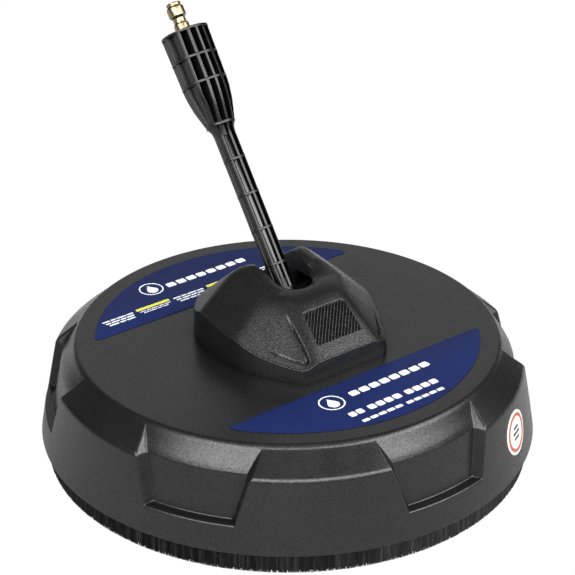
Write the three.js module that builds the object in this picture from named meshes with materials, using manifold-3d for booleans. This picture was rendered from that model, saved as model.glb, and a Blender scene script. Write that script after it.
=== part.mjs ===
// Round rotary surface cleaner: a brush-skirted housing, a spinning two-arm spray bar under it,
// a central water swivel below a moulded cover, and a ribbed lance that tilts on a cross pin.
// Millimetres, +Z up; the origin is the centre of the floor plane under the brush.
// The front is -Y, the lance leans back towards +Y, and "left" in a mesh name is -X.
import * as THREE from "three";
import { mergeVertices } from "three/addons/utils/BufferGeometryUtils.js";
import Module from "manifold-3d";

// ---------------------------------------------------------------- shared dimensions
const DECK_R = 138.3; // flat deck
const DECK_Z = 78.45;
const SHELL = 3; // deck thickness
const DECK_UNDER = DECK_Z - SHELL;
const RIM_Z = 14.4; // housing's lower rim above the floor
const LAY_GAP = 0.05; // clearance under what is laid on the deck

const PIVOT_Y = -2.2; // cross pin
const PIVOT_Z = 104.33;

const SEGS = 48; // facets round the housing
const INNER_SEGS = 36; // facets of the rings inside it
const ROUND = 16; // facets of the small turned pieces

const COVER_SCREWS = [[40, -36], [-40, -36], [40, 30], [-40, 30]]; // [x, y]

const BRUSH_SCREW_ANGLES = [0, 60, 120, 180, 240, 300];
const BRUSH_SCREW_CIRCLE_R = 150.1;

// ---------------------------------------------------------------- solids
const wasm = await Module();
wasm.setup();

const solid = (geometry) => {
  for (const name of Object.keys(geometry.attributes))
    if (name !== "position") geometry.deleteAttribute(name);
  const merged = mergeVertices(geometry, 1e-4);
  return new wasm.Manifold(
    new wasm.Mesh({
      numProp: 3,
      vertProperties: new Float32Array(merged.attributes.position.array),
      triVerts: new Uint32Array(merged.index.array),
    }),
  );
};

const geometryOf = (body) => {
  const mesh = body.getMesh();
  const positions = new Float32Array(mesh.numVert * 3);
  for (let i = 0; i < mesh.numVert; i++) {
    const start = i * mesh.numProp;
    positions.set(mesh.vertProperties.subarray(start, start + 3), i * 3);
  }
  const geometry = new THREE.BufferGeometry();
  geometry.setAttribute("position", new THREE.BufferAttribute(positions, 3));
  geometry.setIndex(new THREE.BufferAttribute(new Uint32Array(mesh.triVerts), 1));
  geometry.computeVertexNormals();
  return geometry;
};

const join = (...bodies) => bodies.reduce((a, b) => a.add(b));
const cut = (from, ...cutters) => cutters.reduce((a, b) => a.subtract(b), from);

// A ring or disc of revolution about +Z from a closed outline of [radius, z] pairs.
const turned = (pairs, segs = ROUND) => {
  let points = pairs.map(([r, z]) => new THREE.Vector2(r, z));
  // counter-clockwise outlines give outward faces
  if (THREE.ShapeUtils.isClockWise(points)) points.reverse();
  const axisStart = points.findIndex((p, i) => p.x === 0 && points.at(i - 1).x === 0);
  // an outline on the axis begins and ends there; one off it closes on its first point
  if (axisStart < 0) points.push(points[0].clone());
  else points = [...points.slice(axisStart), ...points.slice(0, axisStart)];
  const geometry = new THREE.LatheGeometry(points, segs);
  geometry.rotateX(Math.PI / 2);
  return solid(geometry);
};
const tube = (rIn, rOut, z0, z1, segs = ROUND) =>
  turned([[rIn, z0], [rOut, z0], [rOut, z1], [rIn, z1]], segs);
const rod = (r, z0, z1, segs = ROUND) =>
  turned([[0, z0], [r, z0], [r, z1], [0, z1]], segs);

const box = (x0, x1, y0, y1, z0, z1) => {
  const geometry = new THREE.BoxGeometry(x1 - x0, y1 - y0, z1 - z0);
  geometry.translate((x0 + x1) / 2, (y0 + y1) / 2, (z0 + z1) / 2);
  return solid(geometry);
};
// An [x, y] outline raised from z0 to z1.
const prism = (outline, z0, z1) => {
  const shape = new THREE.Shape(outline.map(([x, y]) => new THREE.Vector2(x, y)));
  const geometry = new THREE.ExtrudeGeometry(shape, { depth: z1 - z0, bevelEnabled: false });
  geometry.translate(0, 0, z0);
  return solid(geometry);
};

const placed = (body, matrix) => {
  const geometry = geometryOf(body);
  geometry.applyMatrix4(matrix);
  return solid(geometry);
};
const moved = (body, x, y, z) =>
  placed(body, new THREE.Matrix4().makeTranslation(x, y, z));
const about = (body, degrees) =>
  placed(body, new THREE.Matrix4().makeRotationZ(THREE.MathUtils.degToRad(degrees)));
// Turns a body's +Z to +X, then moves it to y, z.
const alongX = (body, y = 0, z = 0) =>
  placed(
    body,
    new THREE.Matrix4()
      .makeTranslation(0, y, z)
      .multiply(new THREE.Matrix4().makeRotationY(Math.PI / 2)),
  );
const onPin = (body) => alongX(body, PIVOT_Y, PIVOT_Z);

// An x range on the right (side 1), or its mirror image on the left (side -1).
const sideRange = (side, inner, outer) => (side > 0 ? [inner, outer] : [-outer, -inner]);

const atCoverScrews = (body) => COVER_SCREWS.map(([x, y]) => moved(body, x, y, 0));
const atBrushScrews = (body) =>
  BRUSH_SCREW_ANGLES.map((angle) => about(moved(body, BRUSH_SCREW_CIRCLE_R, 0, 0), angle));

// ---------------------------------------------------------------- finishes
const finish = (settings) => new THREE.MeshStandardMaterial(settings);
const blackPlastic = finish({ color: 0x343536, roughness: 0.55, metalness: 0 });
const glossBlack = finish({ color: 0x242526, roughness: 0.4, metalness: 0 });
const bristle = finish({ color: 0x1b1b1b, roughness: 0.9, metalness: 0 });
const labelBlue = finish({ color: 0x24326b, roughness: 0.45, metalness: 0 });
const stickerWhite = finish({ color: 0xf2efec, roughness: 0.5, metalness: 0 });
const brass = finish({ color: 0xc9a45c, roughness: 0.3, metalness: 0.9 });
const steel = finish({ color: 0xa9adb1, roughness: 0.35, metalness: 0.9 });
const rubber = finish({ color: 0x151515, roughness: 0.8, metalness: 0 });

// ---------------------------------------------------------------- housing
const WALL_R = 165; // at the lower rim
const BAND_R = 141.7; // rounded band round the deck
const BAND_Z = 73.9;
const BLOCK_R = 157; // outer top edge of the raised blocks
const BLOCK_Z = 63.2;
const BLOCK_EDGE_Z = BLOCK_Z - 1.2; // top of their outer wall
const PANEL_R = 150; // outer top edge of the recessed panels
const PANEL_Z = 62.5;
const PANEL_FOOT_R = 155.8;
const LEDGE_Z = 33; // sill of each panel
const RECESSES = 6;
const SWIVEL_HOLE_R = 17.9;

// Radius of a raised block's outer wall at height z.
const wallRadius = (z) =>
  BLOCK_R + ((WALL_R - BLOCK_R) * (BLOCK_EDGE_Z - z)) / (BLOCK_EDGE_Z - RIM_Z);

// [radius, z] down the outside of a raised block
const BLOCK_OUTSIDE = [
  [0, DECK_Z], [DECK_R, DECK_Z], [140.5, 77], [BAND_R, BAND_Z], [148, 68.5],
  [155.8, BLOCK_Z + 0.7], [BLOCK_R, BLOCK_EDGE_Z], [WALL_R, RIM_Z], [0, RIM_Z],
];
// [radius, z] down its inside
const BLOCK_INSIDE = [
  [0, DECK_UNDER], [137.2, DECK_UNDER], [138.9, BAND_Z - 1.4], [145, 66.6],
  [153.6, 61.2], [WALL_R - 2.5, RIM_Z - 1], [0, RIM_Z - 1],
];
// [radius, z] down a recessed panel: a convex shoulder, then a steep face
const PANEL_OUTSIDE = [
  [DECK_R, DECK_Z], [140.5, 77], [BAND_R, BAND_Z], [147, 68.4],
  [PANEL_R, PANEL_Z], [PANEL_FOOT_R, LEDGE_Z],
];

// Everything outside the panel surface and above its sill, with the surface set in by drop.
const outsidePanels = ({ sill, drop, segs }) => {
  const clearR = 190; // beyond the wall
  const clearZ = 100; // above the deck
  const deckR = 120; // within the deck
  return turned(
    [
      ...PANEL_OUTSIDE.map(([r, z]) => [r - drop, z - drop * 0.4]),
      [PANEL_FOOT_R - drop, sill],
      [clearR, sill],
      [clearR, clearZ],
      [deckR, clearZ],
      [deckR, DECK_Z - drop * 0.4],
    ],
    segs,
  );
};

// Half width of a recess: its drafted side faces differ on the shoulder and down the wall.
const recessHalfWidth = (r, z) =>
  z >= PANEL_Z ? -115.97 + 0.657 * r + 0.8115 * z : -82.0 + 0.62 * r + 0.3595 * z;

const recessLayer = (grow, z0, z1) => {
  const geometry = new THREE.BoxGeometry(1, 1, 1);
  const corners = geometry.attributes.position;
  for (let i = 0; i < corners.count; i++) {
    const r = corners.getX(i) > 0 ? 176 : 134;
    const z = corners.getZ(i) > 0 ? z1 : z0;
    const half = recessHalfWidth(r, z) + grow;
    corners.setXYZ(i, r, Math.sign(corners.getY(i)) * half, z);
  }
  return solid(geometry);
};

// The voids of all recesses; grow widens each side, for the inside of the shell.
const recessVoids = ({ grow, sill, drop, segs }) => {
  const wedge = join(recessLayer(grow, sill, PANEL_Z), recessLayer(grow, PANEL_Z, 90));
  const recess = wedge.intersect(outsidePanels({ sill, drop, segs }));
  return Array.from({ length: RECESSES }, (_, i) => about(recess, -90 + i * (360 / RECESSES)));
};

const makeHousing = () => {
  const outside = cut(
    turned(BLOCK_OUTSIDE, SEGS),
    ...recessVoids({ grow: 0, sill: LEDGE_Z, drop: 0, segs: SEGS }),
  );
  const inside = cut(
    turned(BLOCK_INSIDE, INNER_SEGS),
    ...recessVoids({ grow: 2.6, sill: LEDGE_Z - 2.6, drop: 2.8, segs: INNER_SEGS }),
  );
  // stiffening collar and cover-screw bosses under the deck
  const bossFoot = DECK_UNDER - 3;
  const bossTop = DECK_UNDER + 0.5;
  let housing = join(
    cut(outside, inside),
    tube(SWIVEL_HOLE_R, 34, bossFoot, bossTop, 24),
    ...atCoverScrews(rod(6.5, bossFoot, bossTop, 8)),
  );
  housing = cut(
    housing,
    rod(SWIVEL_HOLE_R, DECK_UNDER - 10, DECK_Z + 5, 24),
    ...atCoverScrews(rod(2.4, 60, 90, 8)),
  );
  // lugs inside the wall that take the brush-channel screws
  const lug = box(145.6, 161, -5.5, 5.5, 25.2, 34);
  housing = join(housing, ...BRUSH_SCREW_ANGLES.map((angle) => about(lug, angle)));
  return cut(housing, ...atBrushScrews(rod(1.9, 20, 33, 6)));
};

// ---------------------------------------------------------------- labels and round sticker
const LABEL_R = 127; // arc of both deck labels
const FRONT_LABEL_Y = -72.5; // their straight edges
const REAR_LABEL_Y = 67.4;
const LABEL_T = 0.4;
const LABEL_STEPS = 28;
const STICKER_R = 14.6;
const STICKER_Z = 42;
const STICKER_DEG = -62.3; // place round the wall

// A circular segment beyond the straight edge at y = edge.
const makeLabel = (edge) => {
  const half = Math.acos(Math.abs(edge) / LABEL_R);
  const middle = (Math.sign(edge) * Math.PI) / 2;
  const outline = [];
  for (let i = 0; i <= LABEL_STEPS; i++) {
    const angle = middle - half + (2 * half * i) / LABEL_STEPS;
    outline.push([LABEL_R * Math.cos(angle), LABEL_R * Math.sin(angle)]);
  }
  return prism(outline, DECK_Z + LAY_GAP, DECK_Z + LAY_GAP + LABEL_T);
};

// A disc punched from a thin skin that follows the wall.
const makeSticker = () => {
  const gap = 0.3; // from the wall to the skin's inside
  const reach = 0.7; // from the wall to its outside
  const z0 = RIM_Z + 2;
  const z1 = BLOCK_Z - 4;
  const skin = turned(
    [
      [wallRadius(z0) + gap, z0],
      [wallRadius(z0) + reach, z0],
      [wallRadius(z1) + reach, z1],
      [wallRadius(z1) + gap, z1],
    ],
    SEGS,
  );
  const punch = alongX(rod(STICKER_R, 130, 180, 24), 0, STICKER_Z);
  return skin.intersect(about(punch, STICKER_DEG));
};

// ---------------------------------------------------------------- brush
const BRUSH_OUT = 161.2; // skirt radii at the floor
const BRUSH_IN = 156;

// [radius, z] round a downward-open channel with an inward screw flange
const CHANNEL_OUTLINE = [
  [152.9, 15.2], [153.9, 15.2], [153.9, 22.6], [158.4, 22.6], [158.4, 15.2],
  [159.1, 15.2], [159.1, 24.8], [146.8, 24.8], [146.8, 22.6], [152.9, 22.6],
];
// [radius, z] round the bristles, up to their root in the channel
const SKIRT_OUTLINE = [
  [BRUSH_IN, 0], [BRUSH_OUT, 0], [BRUSH_OUT - 0.6, 13.6], [158.1, 15],
  [158.1, 22.2], [154.2, 22.2], [154.2, 14],
];

const makeBrushChannel = () =>
  cut(turned(CHANNEL_OUTLINE, INNER_SEGS), ...atBrushScrews(rod(2.2, 20, 30, 6)));
const makeBrushScrews = () =>
  atBrushScrews(join(rod(2.5, 20, 22.3, 8), rod(1.4, 22.2, 31, 6)));

// ---------------------------------------------------------------- cover over the swivel
const COVER_WALL = 2.6;
const COVER_FOOT = DECK_Z + LAY_GAP;
const COVER_CENTRE = [0, -5.75]; // the cover's rings shrink towards it
const SLOT_R = 15; // half width of the lance slot
const SLOT_Y = PIVOT_Y; // centre of its round front end
const SLOT_STEPS = 12;
const SLOT_FLOOR = 16; // above the deck
const SLOT_WALL = 2.2;

// [x, y] of the right half of the cover's foot, from the front round to the rear
const COVER_HALF_RIM = [
  [0, -63.2], [14, -63.2], [24, -63.1], [29.5, -62.9], [33.2, -61.6],
  [36.2, -58.6], [39.6, -53.6], [43.9, -46.3], [48.2, -38.4], [52.2, -29.6],
  [55.2, -20], [56.6, -9], [56.6, 4], [55.8, 17], [53.8, 28],
  [49.6, 37.5], [42.5, 45], [33, 49.8], [20, 52.2], [0, 52.5],
];
const mirroredRim = COVER_HALF_RIM.slice(1, -1).reverse().map(([x, y]) => [-x, y]);
const coverRim = new THREE.CatmullRomCurve3(
  [...COVER_HALF_RIM, ...mirroredRim].map(([x, y]) => new THREE.Vector3(x, y, 0)),
  true,
  "centripetal",
);

// A minimum whose exponential blend rounds the edges where faces meet.
const softMin = (blend, ...heights) => {
  const lowest = Math.min(...heights);
  let sum = 0;
  for (const height of heights) sum += Math.exp(-(height - lowest) / blend);
  return lowest - blend * Math.log(sum);
};

// Height of the cover's top above the deck.
const coverHeight = (x, y) => {
  const side = Math.abs(x);
  // sloping planes, each by its height and its fall in x and y
  const roof = 53 - 0.89 * (side - 22) - 0.13 * (10.5 - y);
  const frontFace = 36.4 + 0.9 * (y + 36.5);
  const frontFacet = 76.4 - 0.827 * side + 0.646 * y;
  const backFace = 53.5 - 0.95 * (y - 14);
  const backFacet = 85 - 0.827 * side - 0.7 * y;
  // the roll-over round the slot, dished towards the slot's rim and rising to the rear
  const slotDistance = y > SLOT_Y ? side : Math.hypot(side, y - SLOT_Y);
  const frontRise = THREE.MathUtils.clamp((y + 17) / 15, 0, 1);
  const rearRise = THREE.MathUtils.clamp((y + 2) / 14, 0, 1);
  const dish = Math.pow(Math.max(22 - slotDistance, 0) / 7.5, 2);
  const saddle = 42.9 + 6 * frontRise * (0.5 + 0.5 * frontRise) + 2.4 * rearRise - 3 * dish;
  return softMin(
    2.2,
    softMin(1.3, roof, frontFacet, backFace, backFacet),
    softMin(3, frontFace, saddle),
  );
};

// A closed block under the cover's surface, set in by inset and lowered by drop: its foot
// outline, drafted sides, and rings of the top at the given scales towards the centre.
const coverBlock = ({ inset, drop, around, foot, rings }) => {
  const draft = 1.3; // how far the top edge stands in from the foot
  const [centreX, centreY] = COVER_CENTRE;
  const rim = coverRim.getSpacedPoints(around).slice(0, around);
  const positions = [];
  const triangles = [];
  const scaled = (p, scale) => [
    centreX + (p.x - centreX) * scale,
    centreY + (p.y - centreY) * scale,
  ];
  const reach = (p) => Math.hypot(p.x - centreX, p.y - centreY);
  for (const p of rim) positions.push(...scaled(p, 1 - inset / reach(p)), foot);
  for (const ring of rings)
    for (const p of rim) {
      const [x, y] = scaled(p, (1 - (inset + draft) / reach(p)) * ring);
      positions.push(x, y, DECK_Z + Math.max(coverHeight(x, y) - drop, 3));
    }
  const lastRing = rings.length * around;
  const apex = positions.length / 3;
  const footCentre = apex + 1;
  positions.push(centreX, centreY, DECK_Z + coverHeight(centreX, centreY) - drop);
  positions.push(centreX, centreY, foot);
  for (let i = 0; i < around; i++) {
    const j = (i + 1) % around;
    for (let ring = 0; ring < rings.length; ring++) {
      const lower = ring * around;
      const upper = lower + around;
      triangles.push(lower + i, lower + j, upper + j, lower + i, upper + j, upper + i);
    }
    triangles.push(lastRing + i, lastRing + j, apex, j, i, footCentre);
  }
  const geometry = new THREE.BufferGeometry();
  geometry.setAttribute("position", new THREE.BufferAttribute(new Float32Array(positions), 3));
  geometry.setIndex(triangles);
  return solid(geometry);
};

// Plan of the slot: a round front end run straight back to yEnd.
const slotPlan = (r, yEnd) => {
  const outline = [];
  for (let i = 0; i <= SLOT_STEPS; i++) {
    const angle = Math.PI + (Math.PI * i) / SLOT_STEPS;
    outline.push([r * Math.cos(angle), SLOT_Y + r * Math.sin(angle)]);
  }
  return [...outline, [r, yEnd], [-r, yEnd]];
};
const troughPlan = (half, y0, y1) => [[-half, y0], [half, y0], [half, y1], [-half, y1]];

const makeCover = () => {
  const outer = coverBlock({
    inset: 0,
    drop: 0,
    around: 56,
    foot: COVER_FOOT,
    rings: [1, 0.89, 0.76, 0.63, 0.51, 0.41, 0.32, 0.24],
  });
  const hollow = coverBlock({
    inset: COVER_WALL,
    drop: COVER_WALL + 0.9,
    around: 28,
    foot: COVER_FOOT - 1,
    rings: [1, 0.84, 0.66, 0.48, 0.3],
  });
  // walls of the slot: a skirt round its front, and a trough behind it
  const wallR = SLOT_R + SLOT_WALL;
  const wallTop = DECK_Z + 70;
  const skirt = prism(slotPlan(wallR, 14), DECK_Z + 38, wallTop);
  const trough = prism(troughPlan(wallR, 13, 60), DECK_Z + SLOT_FLOOR - SLOT_WALL, wallTop);
  const posts = atCoverScrews(rod(4.4, COVER_FOOT, DECK_Z + 60, 8));
  const cover = join(
    cut(outer, hollow),
    join(skirt, trough).intersect(outer),
    ...posts.map((post) => post.intersect(outer)),
  );
  return cut(
    cover,
    prism(slotPlan(SLOT_R, 15.2), DECK_Z - 5, DECK_Z + 80),
    prism(troughPlan(SLOT_R, 15, 70), DECK_Z + SLOT_FLOOR, DECK_Z + 80),
    ...atCoverScrews(rod(1.9, COVER_FOOT - 1, DECK_Z + 9, 6)),
  );
};

const makeCoverScrews = () => {
  const head = rod(3.8, DECK_UNDER - 5.6, DECK_UNDER - 3.2, 8);
  return atCoverScrews(join(head, rod(1.4, DECK_UNDER - 3.3, DECK_Z + 7.5, 6)));
};

// ---------------------------------------------------------------- water swivel
const EAR_IN = 14.6; // inner face of each fork ear, in x
const EAR_T = 5.7;
const EAR_OUT = EAR_IN + EAR_T;
const EAR_R = 8; // round top of the ear, and half its width in y
const GALLERY_X = 17.4;
const BEAR_OUT = 14;
const BEAR_IN = 6.3;
const BEAR_W = 8;
const BEARING_Z = { upper: 60, lower: 45.5 }; // undersides
const SPACER_Z = [BEARING_Z.lower + BEAR_W + 0.2, BEARING_Z.upper - 0.2];
const BALLS = 6;
const BALL_CIRCLE_R = 9.95;
const SHAFT_R = 6;

// [radius, z] round the stem and its flange on the deck
const STEM_OUTLINE = [[0, 40.5], [17.5, 40.5], [17.5, 79.1], [24, 79.1], [24, 84.5], [20, 88], [0, 88]];
// [radius, z] round the seal and its lip on the shaft
const SEAL_OUTLINE = [
  [SHAFT_R + 0.25, 70.6], [7.4, 69.4], [11, 69.4], [11, 73.9], [9.6, 73.9],
  [9.6, 71.2], [8.2, 71.2], [7.4, 72.8], [SHAFT_R + 0.25, 72.4],
];

const makeManifold = () => {
  const front = PIVOT_Y - EAR_R;
  const back = PIVOT_Y + EAR_R;
  let body = join(turned(STEM_OUTLINE, 24), box(-EAR_OUT, EAR_OUT, front, back, 84, 96));
  for (const side of [-1, 1]) {
    const [x0, x1] = sideRange(side, EAR_IN, EAR_OUT);
    body = join(body, box(x0, x1, front, back, 90, PIVOT_Z), onPin(rod(EAR_R, x0, x1)));
  }
  body = cut(
    body,
    rod(BEAR_OUT + 0.25, 30, 68.6, 24), // bearing seat
    tube(13, 15.4, 43.2, 44.7, 24), // circlip groove
    rod(11.2, 68, 74.2, 24), // seal seat
    rod(7.2, 74, 86, 24), // water chamber
    onPin(rod(5.2, -30, 30)), // cross pin and its bushes
    box(-EAR_IN, EAR_IN, -30, 30, 94.5, 130), // room for the lance block
  );
  // water galleries up each ear, fed by one across the chamber
  for (const side of [-1, 1])
    body = cut(body, moved(rod(1.6, 82, PIVOT_Z - 2, 8), side * GALLERY_X, PIVOT_Y, 0));
  return cut(body, alongX(rod(1.5, -GALLERY_X, GALLERY_X, 8), PIVOT_Y, 83.4));
};

const makeManifoldNut = () => {
  const cornerR = 27;
  const hexagon = Array.from({ length: 6 }, (_, i) => [
    cornerR * Math.cos((i * Math.PI) / 3),
    cornerR * Math.sin((i * Math.PI) / 3),
  ]);
  return cut(prism(hexagon, DECK_UNDER - 10, DECK_UNDER - 3.2), rod(17.8, 50, 90, 24));
};

// A race from its plain back to its grooved face.
const makeRace = (z, { back, face, groove }) =>
  turned([
    [face, z], [back, z], [back, z + BEAR_W], [face, z + BEAR_W],
    [face, z + 5.9], [groove, z + 4.8], [groove, z + 3.2], [face, z + 2.1],
  ]);
const OUTER_RACE = { back: BEAR_OUT, face: 10.9, groove: 12 };
const INNER_RACE = { back: BEAR_IN, face: 8.9, groove: 7.9 };

// Balls joined by their cage into one piece.
const makeBallCage = (z) => {
  let cage = tube(9.5, 10.4, z + 2.8, z + 5.2, 18);
  for (let i = 0; i < BALLS; i++) {
    const ball = new THREE.SphereGeometry(1.7, 6, 3);
    const angle = (i * 2 * Math.PI) / BALLS;
    const x = BALL_CIRCLE_R * Math.cos(angle);
    const y = BALL_CIRCLE_R * Math.sin(angle);
    ball.translate(x, y, z + BEAR_W / 2);
    cage = join(cage, solid(ball));
  }
  return cage;
};

// A ring open on its +X side.
const makeCirclip = () =>
  cut(tube(12.6, 15, 43.4, 44.5, 24), box(11, 17, -2.4, 2.4, 42, 46));

// ---------------------------------------------------------------- cross pin
const PIN_R = 3.9;
const PIN_END = 25.6; // half its length, head included
const O_RING_X = 9.6;

const makePin = () => {
  const shank = onPin(rod(PIN_R, -22.6, PIN_END));
  const head = onPin(rod(6.6, -PIN_END, -22.4, 6));
  const groove = (x) => onPin(tube(3.1, 5, x - 1.2, x + 1.2));
  return cut(
    join(shank, head),
    onPin(rod(2, -20, 30, 12)), // water bore
    groove(-O_RING_X),
    groove(O_RING_X),
    moved(rod(1.2, -6, 6, 8), 0, PIVOT_Y, PIVOT_Z), // lets the water into the lance block
  );
};
const makePivotBush = (side) => onPin(tube(4.15, 4.95, ...sideRange(side, 14.9, 20.2)));
const makePivotORing = (side) =>
  onPin(tube(3.3, 4.05, side * O_RING_X - 0.9, side * O_RING_X + 0.9));
const makePinNut = () => cut(onPin(rod(6.4, 21.9, 25.2, 6)), onPin(rod(4.2, 15, 30, 20)));

// ---------------------------------------------------------------- rotor
const ARM_REACH = 126;
const ARM_R = 5;
const ARM_BORE_R = 3;
const ARM_Z = 34;
const HUB_HALF = 17; // half length of the hub block
const NOZZLE_X = ARM_REACH + 7;
const NOZZLE_TILT = THREE.MathUtils.degToRad(15);

// [radius, z] up the shaft: threaded end, hub seat, shoulder and bearing length
const SHAFT_OUTLINE = [
  [0, 20.2], [4.7, 20.2], [4.7, 27.2], [SHAFT_R - 0.2, 27.2], [SHAFT_R - 0.2, 42],
  [7.7, 42], [7.7, 45.2], [SHAFT_R, 45.2], [SHAFT_R, 76], [5.4, 76.8], [0, 76.8],
];

const onArm = (body) => alongX(body, 0, ARM_Z);
// Points down and 15 degrees towards +Y on the right arm, before any turn to the left.
const nozzleMatrix = new THREE.Matrix4()
  .makeTranslation(NOZZLE_X, 0, ARM_Z)
  .multiply(new THREE.Matrix4().makeRotationX(NOZZLE_TILT));
const onNozzle = (body) => placed(body, nozzleMatrix);

const makeShaft = () =>
  cut(turned(SHAFT_OUTLINE, 18), rod(2.4, 33, 80, 10), alongX(rod(2, -10, 10, 8), 0, ARM_Z));
const makeRotorHub = () =>
  cut(
    join(box(-HUB_HALF, HUB_HALF, -10, 10, 27.6, 40.4), rod(12, 27.6, 41.6)),
    rod(SHAFT_R + 0.15, 20, 50, 18),
    onArm(rod(3.2, -30, 30, 12)),
  );
const makeShaftNut = () => cut(rod(8.4, 20.8, 25.9, 6), rod(5, 10, 30));
const makeArm = () =>
  cut(onArm(rod(ARM_R, HUB_HALF + 0.3, ARM_REACH)), onArm(rod(ARM_BORE_R, 10, 140, 12)));
const makeElbow = () =>
  cut(
    join(onArm(rod(7, ARM_REACH + 0.3, ARM_REACH + 13)), onNozzle(rod(6, -10, 1))),
    onArm(rod(ARM_BORE_R, ARM_REACH - 2, ARM_REACH + 8, 12)),
    onNozzle(rod(3.4, -12, 0, 12)),
  );
const makeNozzle = () =>
  cut(
    join(onNozzle(rod(3.05, -13.8, -4, 12)), onNozzle(rod(5.6, -14, -10.3, 6))),
    onNozzle(rod(1.1, -20, 0, 8)),
  );

// ---------------------------------------------------------------- lance
// Modelled upright from the pivot and leaned back about the cross pin.
const LEAN = THREE.MathUtils.degToRad(36.72); // from upright, at rest
const AXIS_OFFSET = 3.68; // from the pivot to where the lance line crosses the machine's axis
const fromPivot = (along) => along + AXIS_OFFSET; // stations are measured from that crossing
const NECK = fromPivot(119.6); // foot of the wider head
const TOP = fromPivot(185.3);
const LANCE_R = 7.4; // outline of the lower lance
const HEAD_R = 16.2; // outline of the head at the top
const LANCE_FOOT = 1.5;
const STICK_TOP = NECK - 4;
const HEAD_FOOT = NECK - 8;
const FIN_TOP = TOP - 0.5;
const FIN = 1.85; // middle fin
const WEB = 2.4;
const TUBE_CLEAR_R = 3.1; // bore round the lance tube
const STICK_RINGS = [20.7, 45.3, 70, 94.8]; // stations

// [x, z] outlines of the right-hand fins
const STICK_FIN = [[4.8, LANCE_FOOT], [6.65, LANCE_FOOT], [6.65, STICK_TOP], [4.8, STICK_TOP]];
const HEAD_INNER_FIN = [
  [4.0, HEAD_FOOT], [5.8, HEAD_FOOT], [6.75, NECK + 18],
  [6.75, FIN_TOP], [4.95, FIN_TOP], [4.95, NECK + 18],
];
const HEAD_OUTER_FIN = [
  [4.9, HEAD_FOOT], [6.9, HEAD_FOOT], [9.5, NECK], [12.65, NECK + 22],
  [12.65, FIN_TOP], [10.85, FIN_TOP], [10.85, NECK + 22], [7.6, NECK],
];
// [radius, z] up the head's outline
const HEAD_OUTLINE = [
  [0, HEAD_FOOT], [7.3, HEAD_FOOT], [7.9, STICK_TOP], [9.9, NECK],
  [15.3, NECK + 24], [HEAD_R, TOP], [0, TOP],
];
// [radius, height above the lance top] up the quick-connect plug
const PLUG_OUTLINE = [
  [0, -2], [5.2, -2], [5.2, 5.6], [4.3, 6.6], [4.3, 9.6], [5.85, 11.4],
  [5.85, 17.2], [4.75, 18.4], [4.75, 20.2], [4.2, 20.7], [0, 20.7],
];

const makeTrunnion = () =>
  cut(
    join(alongX(rod(7, -14.2, 14.2, 24)), rod(5.6, 0, 14, 20)),
    alongX(rod(4.2, -20, 20, 20)),
    rod(TUBE_CLEAR_R, 2, 20, 12),
  );

const fin = (outline) =>
  placed(prism(outline, -20, 20), new THREE.Matrix4().makeRotationX(Math.PI / 2));
const finPair = (outline) =>
  join(fin(outline), fin(outline.map(([x, z]) => [-x, z]).reverse()));
// The middle fin and the web across it, on the mould's parting plane.
const finCross = (half, z0, z1) => [
  box(-FIN / 2, FIN / 2, -half, half, z0, z1),
  box(-half, half, -WEB / 2, WEB / 2, z0, z1),
];
const ring = (r, z, half, segs) => rod(r, z - half, z + half, segs);

// Parallel fins and a web, clipped to the lance's outline and tied by rings.
const makeWandShell = () => {
  const stick = join(
    join(
      rod(4.1, LANCE_FOOT, NECK + 2, 12),
      ...finCross(12, LANCE_FOOT, STICK_TOP),
      finPair(STICK_FIN),
    ).intersect(rod(LANCE_R, LANCE_FOOT, STICK_TOP)),
    ...STICK_RINGS.map((station) => ring(LANCE_R + 0.2, fromPivot(station), 0.8, 16)),
  );
  const head = join(
    join(
      rod(4.8, HEAD_FOOT, TOP, 12),
      rod(9.3, TOP - 13, TOP, 12),
      ...finCross(20, HEAD_FOOT, FIN_TOP),
      finPair(HEAD_INNER_FIN),
      finPair(HEAD_OUTER_FIN),
    ).intersect(turned(HEAD_OUTLINE, 20)),
    ring(10.1, NECK, 0.9, 20),
    ring(15.6, fromPivot(148.9), 0.9, 20),
    ring(15.85, fromPivot(166.4), 0.9, 20),
    rod(HEAD_R + 0.1, TOP - 1.8, TOP, 24),
  );
  return cut(
    join(stick, head),
    rod(TUBE_CLEAR_R, -10, 230, 12),
    rod(6, 0, 14.4, 20), // socket for the trunnion block's stub
    rod(7.3, TOP - 11, TOP + 5, 6), // socket for the plug's root
    alongX(rod(7.3, -20, 20, 24)), // room for the trunnion block
  );
};

// Quarter-inch quick-connect plug with its hexagonal root.
const makePlug = () =>
  cut(
    join(
      rod(6.9, TOP - 10.5, TOP - 0.6, 6),
      turned(PLUG_OUTLINE.map(([r, above]) => [r, TOP + above]), 20),
    ),
    rod(2.6, TOP - 20, TOP + 30, 12),
  );

// ---------------------------------------------------------------- assembly
const root = new THREE.Group();
const deck = new THREE.Group();
const rotor = new THREE.Group();
const lance = new THREE.Group();
root.add(deck, rotor, lance);
lance.position.set(0, PIVOT_Y, PIVOT_Z);
lance.rotation.x = -LEAN;

const addTo = (group, name, body, material) => {
  const mesh = new THREE.Mesh(geometryOf(body), material);
  mesh.name = name;
  group.add(mesh);
};
const addNumbered = (group, name, bodies, material) =>
  bodies.forEach((body, i) => addTo(group, `${name}_${i + 1}`, body, material));

addTo(deck, "deck_housing", makeHousing(), blackPlastic);
addTo(deck, "front_label", makeLabel(FRONT_LABEL_Y), labelBlue);
addTo(deck, "rear_label", makeLabel(REAR_LABEL_Y), labelBlue);
addTo(deck, "round_sticker", makeSticker(), stickerWhite);
addTo(deck, "brush_channel", makeBrushChannel(), glossBlack);
addTo(deck, "brush_skirt", turned(SKIRT_OUTLINE, INNER_SEGS), bristle);
addNumbered(deck, "brush_screw", makeBrushScrews(), steel);
addTo(deck, "hub_cover", makeCover(), blackPlastic);
addNumbered(deck, "cover_screw", makeCoverScrews(), steel);

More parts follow.
